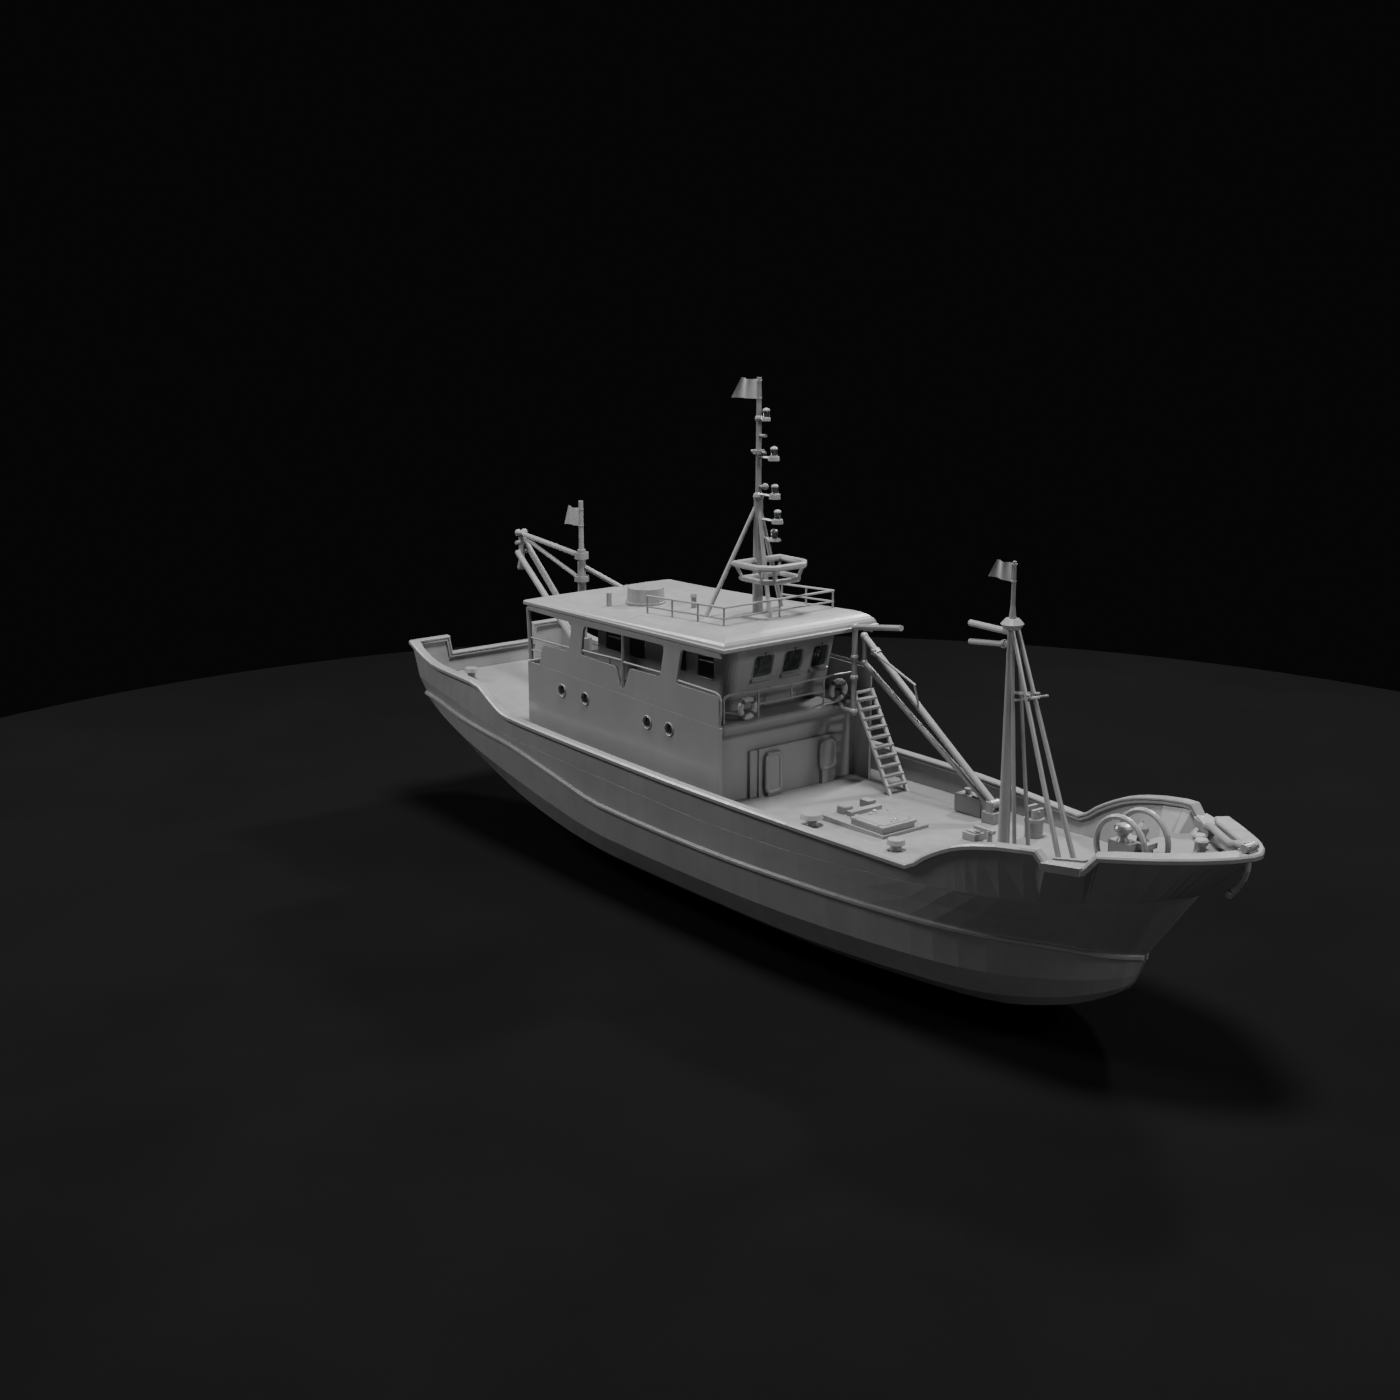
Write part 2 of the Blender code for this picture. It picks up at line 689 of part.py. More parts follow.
# Pilasters of the casing with their ring frames: port and starboard edge, foot and head of the ring
CASING_FRAMES = [(-0.87, -0.22, 1.14, 2.41), (1.23, 1.89, 1.48, 2.44)]


def rounded_outline(u0, u1, v0, v1, radius, steps=3):
    """Corner points of a rectangle with rounded corners, in the plane of its wall."""
    points = []
    corners = ((u1 - radius, v1 - radius, 0), (u0 + radius, v1 - radius, 90),
               (u0 + radius, v0 + radius, 180), (u1 - radius, v0 + radius, 270))
    for cu, cv, start in corners:
        for k in range(steps + 1):
            a = math.radians(start + 90 * k / steps)
            points.append((cu + radius * math.cos(a), cv + radius * math.sin(a)))
    return points


def front_casing():
    """Casing on the recessed front wall, with a pilaster and a rounded ring frame at each side."""
    x0 = HOUSE_FRONT_X + GAP
    foot = deck_z(x0) + GAP
    shapes = [box_bm((x0, -1.02, foot), (x0 + 0.16, 1.95, 2.52)),
              box_bm((x0, -1.30, foot + 0.001), (x0 + 0.10, -1.00, 2.50))]
    for y0, y1, z0, z1 in CASING_FRAMES:
        shapes.append(box_bm((x0 + 0.01, y0 + 0.10, foot + 0.001), (x0 + 0.27, y1 - 0.10, 2.40)))
        ring = rounded_outline(y0 + 0.065, y1 - 0.065, z0 + 0.065, z1 - 0.065, 0.14)
        shapes.append(tube_bm([(x0 + 0.25, y, z) for y, z in ring], 0.065, 9, closed=True))
    smooth(joined("front_casing", shapes, HOUSE_PAINT), 35)


def portholes(item):
    """Cuts the round windows of the lower house through a wall."""
    holes = [rod_bm((x, -3.2, z), (x, 3.2, z), PORTHOLE_R, sides=14) for x, z in PORTHOLES]
    cut(item, holes, HOUSE_PAINT)


def side_walls():
    for side, name in ((-1, "stbd"), (1, "port")):
        y0, y1 = sorted((side * (HOUSE_HALF - WALL_T), side * HOUSE_HALF))
        wall = sloped_box(f"house_wall_{name}", HOUSE_AFT_X, WALL_FRONT_X, y0, y1, deck_z, upper_deck_z,
                          HOUSE_PAINT, DECK_BENDS)
        portholes(wall)


def aft_door(name, wall_x, floor_z):
    """A steel door hung on the aft face of a wall by two hinge barrels on its port edge."""
    x1 = wall_x - RUN
    x0 = x1 - DOOR_T
    half = DOOR_WIDTH / 2
    leaf = box_bm((x0, -half, floor_z), (x1, half, floor_z + DOOR_HEIGHT))
    pin_x, pin_y = x0 + 0.015, half + 0.02
    shapes = [leaf]
    for share in (0.18, 0.82):
        z = floor_z + DOOR_HEIGHT * share
        shapes.append(rod_bm((pin_x, pin_y, z - 0.07), (pin_x, pin_y, z + 0.07), 0.022, sides=10))
        shapes.append(box_bm((x0 - 0.004, half - 0.10, z - 0.03), (x0 + 0.014, pin_y, z + 0.03)))
    shapes.append(rod_bm((x0 - 0.05, -half + 0.09, floor_z + 0.85), (x0 - 0.05, -half + 0.09, floor_z + 1.05),
                         0.016, sides=8))
    for z in (floor_z + 0.88, floor_z + 1.02):
        shapes.append(rod_bm((x0 - 0.055, -half + 0.09, z), (x0 + 0.01, -half + 0.09, z), 0.012, sides=8))
    item = joined(name, shapes, HOUSE_PAINT)
    return set_origin(item, (pin_x, pin_y, floor_z))


def edge_tube(extra=0.0):
    """Round front edge of the upper deck."""
    z = upper_deck_z(EDGE_TUBE_X) - EDGE_TUBE_R
    return rod_bm((EDGE_TUBE_X, -EDGE_TUBE_HALF, z), (EDGE_TUBE_X, EDGE_TUBE_HALF, z), EDGE_TUBE_R + extra, sides=20)


def upper_deck():
    inner = HOUSE_HALF - WALL_T - GAP
    outline = [(HOUSE_AFT_X, upper_deck_z(HOUSE_AFT_X) - UPPER_DECK_T),
               (UPPER_DECK_FRONT_X, upper_deck_z(UPPER_DECK_FRONT_X) - UPPER_DECK_T),
               (UPPER_DECK_FRONT_X, upper_deck_z(UPPER_DECK_FRONT_X)),
               (HOUSE_AFT_X, upper_deck_z(HOUSE_AFT_X))]
    slab = prism_bm(outline, -inner, inner)
    z = upper_deck_z(EDGE_TUBE_X) - EDGE_TUBE_R
    knobs = [ball_bm((EDGE_TUBE_X, side * EDGE_TUBE_HALF, z), EDGE_TUBE_R * 0.93, 14) for side in (-1, 1)]
    return smooth(joined("upper_deck", [slab, edge_tube(), *knobs], DECK_PAINT))


# Openings of the side screens as (x, z) corners with the radius of each corner
MID_OPENING = [(-6.47, 4.46, 0.12), (-4.68, 4.43, 0.08), (-4.47, 3.84, 0.06), (-4.26, 3.84, 0.06),
               (-3.98, 4.50, 0.08), (-2.51, 4.52, 0.12), (-2.30, 5.48, 0.16), (-6.31, 5.38, 0.16)]
SCREEN_RAIL_Y = 2.84


def with_round_corners(corners, steps=3):
    """An outline whose corners are rounded by the radius that each one states."""
    points = []
    count = len(corners)
    for i, (x, z, radius) in enumerate(corners):
        here = Vector((x, z))
        before = (Vector(corners[i - 1][:2]) - here).normalized()
        after = (Vector(corners[(i + 1) % count][:2]) - here).normalized()
        if radius <= 0:
            points.append((x, z))
            continue
        a, b = here + before * radius, here + after * radius
        for k in range(steps + 1):
            t = k / steps
            mid = a * (1 - t) ** 2 + here * 2 * t * (1 - t) + b * t ** 2
            points.append((mid.x, mid.y))
    return points


def screens():
    """Side screens that carry on the house walls up to the roof, with their wide openings and rails."""
    for side, name in ((-1, "stbd"), (1, "port")):
        y0, y1 = sorted((side * (HOUSE_HALF - WALL_T), side * HOUSE_HALF))
        outline = [(-8.76, upper_deck_z(-8.76) + GAP, 0), (0.19, upper_deck_z(0.19) + GAP, 0),
                   (0.19, 4.44, 0.10), (-1.75, 4.47, 0.10), (-1.52, 5.50, 0.14), (0.22, 5.53, 0),
                   (0.22, roof_under_z(0.22) - GAP, 0), (-9.36, roof_under_z(-9.36) - GAP, 0),
                   (-9.36, 5.40, 0), (-6.92, 5.38, 0.14), (-7.14, 4.45, 0.10), (-8.50, 4.42, 0.12)]
        plate = prism_bm(with_round_corners(outline), y0, y1)
        item = add_object(f"screen_{name}", mesh_from(plate, f"screen_{name}"), HOUSE_PAINT)
        cut(item, [prism_bm(with_round_corners(MID_OPENING), y0 - 0.1, y1 + 0.1)], HOUSE_PAINT)
        y = side * SCREEN_RAIL_Y
        bars = [rod_bm((-9.36, y, 5.47), (-9.26, y, 3.83), 0.075, sides=9),
                rod_bm((-9.29, y, 4.52), (-7.08, y, 4.56), 0.032, sides=7),
                rod_bm((-9.25, y, 4.12), (-8.60, y, 4.16), 0.028, sides=7),
                rod_bm((-6.42, y, 4.60), (-4.36, y, 4.66), 0.035, sides=7),
                rod_bm((-5.04, y, 4.40), (-5.04, y, 4.63), 0.028, sides=7),
                rod_bm((-4.34, y, 5.42), (-4.37, y, 3.80), 0.05, sides=9),
                rod_bm((-4.36, y, 4.62), (-2.47, y, 4.64), 0.032, sides=7),
                tube_bm([(-1.74, y, 4.56), (0.02, y, 4.53), (0.17, y, 4.47), (0.24, y, 4.34), (0.235, y, 3.95),
                         (0.19, y, 3.70)], 0.035, 7)]
        helpers = []
        for shape in bars:
            helper = cutter_from(shape, f"screen_bar_{len(helpers)}")
            boolean(item, helper, "UNION")
            helpers.append(helper)
        settle(item)
        item.data.materials.clear()
        item.data.materials.append(HOUSE_PAINT)
        for helper in helpers:
            bpy.data.objects.remove(helper, do_unlink=True)
        smooth(item, 35)


def roof():
    """Roof with a thin lip, a broad rounded shoulder and a crown that fades away aft."""
    bm = bmesh.new()
    corners = [(ROOF_AFT_X, -ROOF_HALF), (ROOF_FRONT_X, -ROOF_HALF), (ROOF_FRONT_X, ROOF_HALF),
               (ROOF_AFT_X, ROOF_HALF)]

    def ring(inset, lift, lift_aft):
        points = []
        for x, y in corners:
            px = x - inset if x > 0 else x + inset * 0.05
            py = y - math.copysign(inset, y)
            rise = lift if x > 0 else lift_aft
            points.append(bm.verts.new((px, py, roof_under_z(x) + rise)))
        return points

    rings = [ring(0.05, 0.0, 0.0), ring(0.0, 0.03, 0.03), ring(0.0, ROOF_LIP_T - 0.02, ROOF_LIP_T - 0.02),
             ring(0.04, ROOF_LIP_T, ROOF_LIP_T)]
    for step in range(1, 9):
        share = step / 8
        angle = share * math.pi / 2
        rings.append(ring(0.04 + ROOF_SHOULDER * (1 - math.cos(angle)) ** 0.9,
                          ROOF_LIP_T + ROOF_CROWN * math.sin(angle), ROOF_LIP_T + 0.03 * share))
    for a, b in zip(rings, rings[1:]):
        for k in range(4):
            j = (k + 1) % 4
            bm.faces.new((a[k], a[j], b[j], b[k]))
    bm.faces.new(rings[0][::-1])
    bm.faces.new(rings[-1])
    item = add_object("roof", mesh_from(bm, "roof"), HOUSE_PAINT)
    return smooth(item, 30)


def roof_top_z(x):
    """Height of the roof's flat crown."""
    front = roof_under_z(ROOF_FRONT_X) + ROOF_LIP_T + ROOF_CROWN
    aft = roof_under_z(ROOF_AFT_X) + ROOF_LIP_T + 0.03
    front_x = ROOF_FRONT_X - 0.04 - ROOF_SHOULDER
    aft_x = ROOF_AFT_X + 0.05 * (0.04 + ROOF_SHOULDER)
    return aft + (front - aft) * (x - aft_x) / (front_x - aft_x)


def below_roof():
    """Everything under the roof's crown, as a cutter for what stands on it."""
    return prism_bm([(-9.6, 5.0), (0.4, 5.0), (0.4, roof_top_z(0.4) + GAP), (-9.6, roof_top_z(-9.6) + GAP)], -3, 3)


def below_deck():
    """Everything under the main deck, as a cutter for what stands on it."""
    top = [(row[2], row[10] + GAP) for row in HULL_STATIONS]
    return prism_bm(top + [(top[-1][0], 0.5), (top[0][0], 0.5)], -4, 4)


def standing(name, shapes, under, material):
    """One solid whose feet are trimmed to the surface it stands on."""
    item = joined(name, shapes, material)
    return cut(item, [under], material)


# Front windows of the wheelhouse: port and starboard edge
FRONT_WINDOWS = [(-0.92, -0.20), (0.21, 0.93), (1.30, 1.92)]
FRONT_WINDOW_Z = (4.50, 5.18)


def wheelhouse_front_x(z):
    """Forward face of the raked wheelhouse front at a height."""
    return WH_FRONT_X + WH_RAKE * (z - 4.2)


def wheelhouse_front():
    """Raked front wall with a rounded starboard corner, three windows and their sills."""
    r, t = WH_CORNER_R, WH_WALL_T
    cx, cy = WH_FRONT_X - r, WH_STBD + r
    steps = 6
    arc = [math.radians(-90 + 90 * k / steps) for k in range(steps + 1)]
    outline = [(cx + r * math.cos(a), cy + r * math.sin(a)) for a in arc] + [(WH_FRONT_X, WH_PORT)]
    outline += [(WH_FRONT_X - t, WH_PORT)]
    outline += [(cx + (r - t) * math.cos(a), cy + (r - t) * math.sin(a)) for a in reversed(arc)]
    low, high = 3.0, 6.3
    wall = prism_bm(outline, low, high, "Z")
    for vert in wall.verts:
        vert.co.x += WH_RAKE * (vert.co.z - 4.2)
    shapes = [wall]
    z0, z1 = FRONT_WINDOW_Z
    for y0, y1 in FRONT_WINDOWS:
        sill = [(wheelhouse_front_x(z0) - 0.02, z0 - 0.13), (wheelhouse_front_x(z0) + 0.05, z0 - 0.11),
                (wheelhouse_front_x(z0) + 0.08, z0 - 0.05), (wheelhouse_front_x(z0) - 0.02, z0 + 0.01)]
        shapes.append(prism_bm(sill, y0 - 0.04, y1 + 0.04))
    front = joined("wheelhouse_front", shapes, HOUSE_PAINT)
    below = prism_bm([(-9, 2.5), (3, 2.5), (3, upper_deck_z(3) + GAP), (-9, upper_deck_z(-9) + GAP)], -3, 3)
    above = prism_bm([(-9, roof_under_z(-9) - GAP), (3, roof_under_z(3) - GAP), (3, 7), (-9, 7)], -3, 3)
    holes = [prism_bm(rounded_outline(y0, y1, z0, z1, 0.12), WH_FRONT_X - 0.30, WH_FRONT_X + 0.9, "X")
             for y0, y1 in FRONT_WINDOWS]
    smooth(cut(front, [below, above, *holes], HOUSE_PAINT), 35)


SIDE_WINDOWS = [(-2.25, -1.45), (-3.6, -2.75), (-5.6, -4.75), (-6.8, -5.95)]


def wheelhouse():
    """Cabin walls inside the screens, each cut for its windows."""
    wheelhouse_front()
    clear = WH_WALL_T + GAP
    z_low, z_high = upper_deck_z(WH_FRONT_X) + GAP, roof_under_z(WH_FRONT_X) - GAP
    for side, name, outer, back in ((-1, "stbd", WH_STBD, WH_CORNER_R + GAP), (1, "port", WH_PORT, clear + 0.002)):
        y0, y1 = sorted((outer, outer - side * WH_WALL_T))
        x_low, x_high = wheelhouse_front_x(z_low) - back, wheelhouse_front_x(z_high) - back
        x_aft = WH_AFT_X + clear
        outline = [(x_aft, upper_deck_z(x_aft) + GAP), (x_low, upper_deck_z(x_low) + GAP),
                   (x_high, roof_under_z(x_high) - GAP), (x_aft, roof_under_z(x_aft) - GAP)]
        wall = add_object(f"wheelhouse_side_{name}", mesh_from(prism_bm(outline, y0, y1), name), HOUSE_PAINT)
        holes = [prism_bm(rounded_outline(x0, x1, 4.45, 5.15, 0.12), y0 - 0.1, y1 + 0.1) for x0, x1 in SIDE_WINDOWS]
        cut(wall, holes, HOUSE_PAINT)

    outline = [(WH_STBD, upper_deck_z(WH_AFT_X) + GAP), (WH_PORT, upper_deck_z(WH_AFT_X) + GAP),
               (WH_PORT, roof_under_z(WH_AFT_X) - GAP), (WH_STBD, roof_under_z(WH_AFT_X) - GAP)]
    aft = add_object("wheelhouse_aft", mesh_from(prism_bm(outline, WH_AFT_X, WH_AFT_X + WH_WALL_T, "X"), "aft"),
                     HOUSE_PAINT)
    sill = upper_deck_z(WH_AFT_X) + 0.16
    cut(aft, [box_bm((WH_AFT_X - 0.2, -0.32, sill), (WH_AFT_X + 0.3, 0.32, sill + 1.65))], HOUSE_PAINT)
    door_z = upper_deck_z(WH_AFT_X) + 0.12
    aft_door("wheelhouse_door", WH_AFT_X, door_z)

    floor = upper_deck_z(-2.30) + GAP
    joined("console", [box_bm((-2.30, -1.2, floor), (-1.75, 1.2, floor + 0.85)),
                       box_bm((-2.30, -1.2, floor + 0.8), (-1.60, 1.2, floor + 0.95))], STEEL)


def torus_bm(centre, major, minor, axis="X", major_steps=24, minor_steps=10):
    points = []
    for i in range(major_steps):
        a = 2 * math.pi * i / major_steps
        c, s = major * math.cos(a), major * math.sin(a)
        offset = {"X": (0, c, s), "Y": (c, 0, s), "Z": (c, s, 0)}[axis]
        points.append(tuple(p + q for p, q in zip(centre, offset)))
    return tube_bm(points, minor, minor_steps, closed=True)


def front_railing():
    x = EDGE_TUBE_X
    base = upper_deck_z(x)
    foot = base - 0.05
    top = 4.36
    end = 2.50
    shapes = [tube_bm([(x, -end, foot), (x, -end, top - 0.15), (x, -end + 0.06, top - 0.04), (x, -end + 0.18, top),
                       (x, end - 0.18, top), (x, end - 0.06, top - 0.04), (x, end, top - 0.15),
                       (x, end, foot)], 0.035, 8)]
    for y in (-1.24, 1.24):
        shapes.append(rod_bm((x, y, foot), (x, y, top), 0.03, sides=8))
    shapes.append(rod_bm((x, 0.0, 3.95), (x, 0.0, top), 0.03, sides=8))
    shapes.append(rod_bm((x, -1.24, 3.95), (x, 1.24, 3.95), 0.028, sides=8))
    for side in (-1, 1):
        shapes.append(rod_bm((x, side * BUOY_Y, 4.05), (x, side * BUOY_Y, top), 0.022, sides=9))
    rail = joined("front_railing", shapes, STEEL)
    cut(rail, [edge_tube(GAP)], STEEL)
    for side, name in ((-1, "stbd"), (1, "port")):
        ring = torus_bm((x + 0.022 + BUOY_R - 0.0032, side * BUOY_Y, 3.93), 0.26, BUOY_R, "X", 18, 8)
        smooth(add_object(f"lifebuoy_{name}", mesh_from(ring, name), STEEL), 60)


def roof_fittings():
    """Railing round the forward crown, a vent and the round skylight."""
    z = roof_top_z
    x_front, half = -0.62, 2.05
    run = [(-4.2, -half), (x_front, -half), (x_front, half), (-2.9, half)]
    shapes = []
    for height, radius in ((0.20, 0.028), (0.52, 0.034)):
        shapes.append(tube_bm([(x, y, z(x) + height) for x, y in run], radius, 7))
    posts = [(-4.2, -half), (-3.0, -half), (-1.8, -half), (x_front, -half), (x_front, 0.0), (x_front, half),
             (-1.8, half), (-2.9, half)]
    for x, y in posts:
        shapes.append(rod_bm((x, y, z(x) - 0.05), (x, y, z(x) + 0.52), 0.03, sides=6))
    standing("roof_railing", shapes, below_roof(), STEEL)
    x, y = -5.75, -0.95
    skylight = [rod_bm((x, y, z(x) - 0.1), (x, y, z(x) + 0.52), 0.60, 0.55, 24),
                rod_bm((x, y, z(x) - 0.1), (x, y, z(x) + 0.10), 0.62, sides=24)]
    standing("skylight", skylight, below_roof(), STEEL)
    for name, x, y, height, cap in (("roof_vent_fore", -3.9, -0.55, 0.40, 0.11), ("roof_vent_aft", -6.2, -2.0, 0.42, 0.0)):
        shapes = [rod_bm((x, y, z(x) - 0.05), (x, y, z(x) + height), 0.085, sides=12)]
        if cap:
            shapes.append(rod_bm((x, y, z(x) + height - 0.06), (x, y, z(x) + height + 0.04), cap, cap * 0.8, 12))
        standing(name, shapes, below_roof(), STEEL)


# Lamps on the main mast: x, height of the base, base radius, base thickness
MAST_LAMPS = [(-1.28, 11.75, 0.13, 0.08), (-0.93, 10.66, 0.17, 0.12), (-0.88, 9.58, 0.17, 0.14),
              (-0.75, 8.89, 0.17, 0.12), (-0.89, 8.38, 0.21, 0.06)]
PLATFORM_Z = 7.72


def main_mast():
    """Tripod mast on the roof with lamps on brackets and a radar ring platform."""
    x = MAST_X
    z0 = roof_top_z(x) - 0.05
    shapes = [rod_bm((x, 0, z0), (x, 0, 9.56), 0.16, 0.13, 15),
              rod_bm((x, 0, 9.5), (x, 0, 12.95), 0.09, 0.07, 11),
              ball_bm((x, 0, 9.57), 0.16, 10), ball_bm((x, 0, 11.79), 0.12, 8),
              rod_bm((x, 0, 10.79), (x, 0, 10.91), 0.17, sides=13),
              rod_bm((x - 0.30, 0, 10.85), (x + 0.30, 0, 10.85), 0.045, sides=9)]
    for foot in ((-2.35, -1.35), (-2.1, 1.35), (-0.75, -0.25)):
        shapes.append(rod_bm((foot[0], foot[1], roof_top_z(foot[0]) - 0.05), (x, 0, 9.45), 0.07, 0.06, 9))
    for lamp_x, z, radius, thick in MAST_LAMPS:
        shapes.append(rod_bm((x, 0, z + thick / 2), (lamp_x, 0, z + thick / 2), 0.04, sides=6))
        shapes.append(rod_bm((lamp_x, 0, z), (lamp_x, 0, z + thick), radius, radius * 0.92, 12))
        shapes.append(rod_bm((lamp_x, 0, z + thick * 0.5), (lamp_x, 0, z + thick + 0.26), 0.09, 0.08, 9))
    shapes.append(rod_bm((x, 0, 11.31), (-1.28, 0, 11.33), 0.05, sides=9))
    shapes.append(rod_bm((x, 0, 9.86), (-1.30, 0, 9.89), 0.045, sides=9))
    shapes.append(ball_bm((-1.30, 0, 9.89), 0.10, 8))
    ring_x, ring_z = x + 0.75, PLATFORM_Z
    ring = [(ring_x + 0.62, -0.55), (ring_x + 0.62, 0.55), (ring_x + 0.3, 0.85), (ring_x - 0.75, 0.85),
            (ring_x - 0.75, -0.85), (ring_x + 0.3, -0.85)]
    low_ring = [(ring_x + (px - ring_x) * 0.8, py * 0.8) for px, py in ring]
    shapes.append(tube_bm([(px, py, ring_z) for px, py in ring], 0.095, 7, closed=True))
    shapes.append(tube_bm([(px, py, ring_z - 0.42) for px, py in low_ring], 0.08, 7, closed=True))
    for (px, py), (qx, qy) in zip(ring, low_ring):
        shapes.append(rod_bm((px, py, ring_z), (qx, qy, ring_z - 0.42), 0.045, sides=6))
    shapes.append(rod_bm((x, -0.85, ring_z), (x, 0.85, ring_z), 0.055, sides=7))
    shapes.append(rod_bm((x, -0.68, ring_z - 0.42), (x, 0.68, ring_z - 0.42), 0.05, sides=7))
    return smooth(standing("main_mast", shapes, below_roof(), STEEL))


def fore_mast():
    """Fore mast with its two pairs of legs, head drum and spar stubs."""
    x = FOREMAST_X
    z0 = deck_z(x) - 0.05
    shapes = [rod_bm((x, 0, z0), (x, 0, 7.45), 0.16, 0.11, 16),
              rod_bm((x, 0, 7.36), (x, 0, 7.49), 0.22, 0.30, 18),
              rod_bm((x, 0, 7.485), (x, 0, 7.62), 0.30, 0.18, 18),
              rod_bm((x, 0, 7.5), (x, 0, 7.95), 0.11, 0.06, 12),
              rod_bm((x, 0, 7.9), (x, 0, 9.07), 0.06, 0.05, 9)]
    for foot_x, half, radius in ((8.95, 0.27, 0.06), (10.55, 0.27, 0.075)):
        for side in (-1, 1):
            shapes.append(rod_bm((foot_x, side * half, deck_z(foot_x) - 0.05), (x + 0.10, side * 0.10, 7.40),
                                 radius, radius * 0.7, 8))
    for za, xb, zb in ((5.74, 9.21, 5.83), (5.53, 9.48, 5.83)):
        for side in (-1, 1):
            shapes.append(rod_bm((x + 0.12, 0, za), (xb - 0.05, side * 0.17, zb), 0.035, sides=6))
    shapes.append(rod_bm((x, 0, 7.26), (x - 1.55, 0.12, 7.24), 0.088, sides=9))
    shapes.append(rod_bm((x, 0, 6.95), (x - 1.53, 0.12, 6.76), 0.075, sides=9))
    shapes.append(ball_bm((x - 0.28, 0.02, 6.92), 0.115, 9))
    return smooth(standing("fore_mast", shapes, below_deck(), STEEL))


def boom_crutch():
    """Post on a bracket from the deck's edge tube that the stowed boom lies against."""
    px, py = 0.60, 1.82
    z_foot = upper_deck_z(0) - EDGE_TUBE_R
    shapes = [rod_bm((EDGE_TUBE_X, py, z_foot), (px, py, z_foot), 0.07, sides=10),
              rod_bm((px, py, z_foot - 0.05), (px, py, 5.88), 0.085, sides=12),
              ball_bm((px, py, z_foot), 0.13, 12), ball_bm((px, py, 4.38), 0.125, 12),
              ball_bm((px, py, 4.99), 0.115, 12), ball_bm((px, py, 5.88), 0.12, 12)]
    head = Vector((px, py, 5.88))
    toward = (Vector((FOREMAST_X, 0, 7.30)) - head).normalized()
    shapes.append(rod_bm(head, head + toward * 2.6, 0.085, sides=10))
    item = joined("boom_crutch", shapes, STEEL)
    return smooth(cut(item, [edge_tube(GAP)], STEEL))


BOOM_HEEL = (5.80, 2.30, 1.72)
BOOM_HEAD = (0.78, 2.02, 5.62)


def fore_boom():
    """Cargo boom of two converging tubes, pinned at its heel by the fore mast."""
    heel = Vector(BOOM_HEEL)
    head = Vector(BOOM_HEAD)
    along = (head - heel).normalized()
    start = heel + along * 0.02
    low_start = heel + Vector((-0.32, 0, 0.02))
    clamp = heel + (head - heel) * 0.90
    shapes = [rod_bm(start, head, 0.10, sides=12),
              rod_bm(low_start, head + Vector((0.02, 0, -0.78)), 0.085, sides=12),
              rod_bm(heel, low_start - Vector((0.03, 0, 0)), 0.08, sides=11),
              rod_bm(heel + (head - heel) * 0.12, low_start + Vector((-0.05, 0, 0.02)), 0.05, sides=9),
              rod_bm(clamp - along * 0.07, clamp + along * 0.07, 0.135, sides=13),
              box_bm(clamp + Vector((-0.05, -0.20, -0.05)), clamp + Vector((0.07, 0.0, 0.09))),
              rod_bm(clamp + Vector((0.0, -0.15, 0.04)), clamp + Vector((1.75, -0.15, -0.62)), 0.035, sides=9),
              rod_bm(clamp + Vector((1.72, -0.16, -0.61)), clamp + Vector((1.72, 0.02, -1.23)), 0.03, sides=9),
              rod_bm(head, head + Vector((0.02, 0, -0.80)), 0.06, sides=10), ball_bm(head, 0.12, 12),
              ball_bm(head + Vector((0.02, 0, -0.78)), 0.11, 12),
              rod_bm(heel + Vector((0, -0.16, 0)), heel + Vector((0, 0.16, 0)), 0.12, sides=14)]
    item = joined("fore_boom", shapes, STEEL)
    smooth(item)
    set_origin(item, heel)

    floor = foot_z(heel.x, 0.22)
    base = [box_bm((heel.x - 0.22, heel.y - 0.26, floor), (heel.x + 0.22, heel.y + 0.26, heel.z - 0.20)),
            box_bm((heel.x - 0.12, heel.y - 0.22, heel.z - 0.21), (heel.x + 0.12, heel.y - 0.16 - RUN, heel.z + 0.10)),
            box_bm((heel.x - 0.12, heel.y + 0.16 + RUN, heel.z - 0.21), (heel.x + 0.12, heel.y + 0.22, heel.z + 0.10))]
    joined("boom_pedestal", base, STEEL)


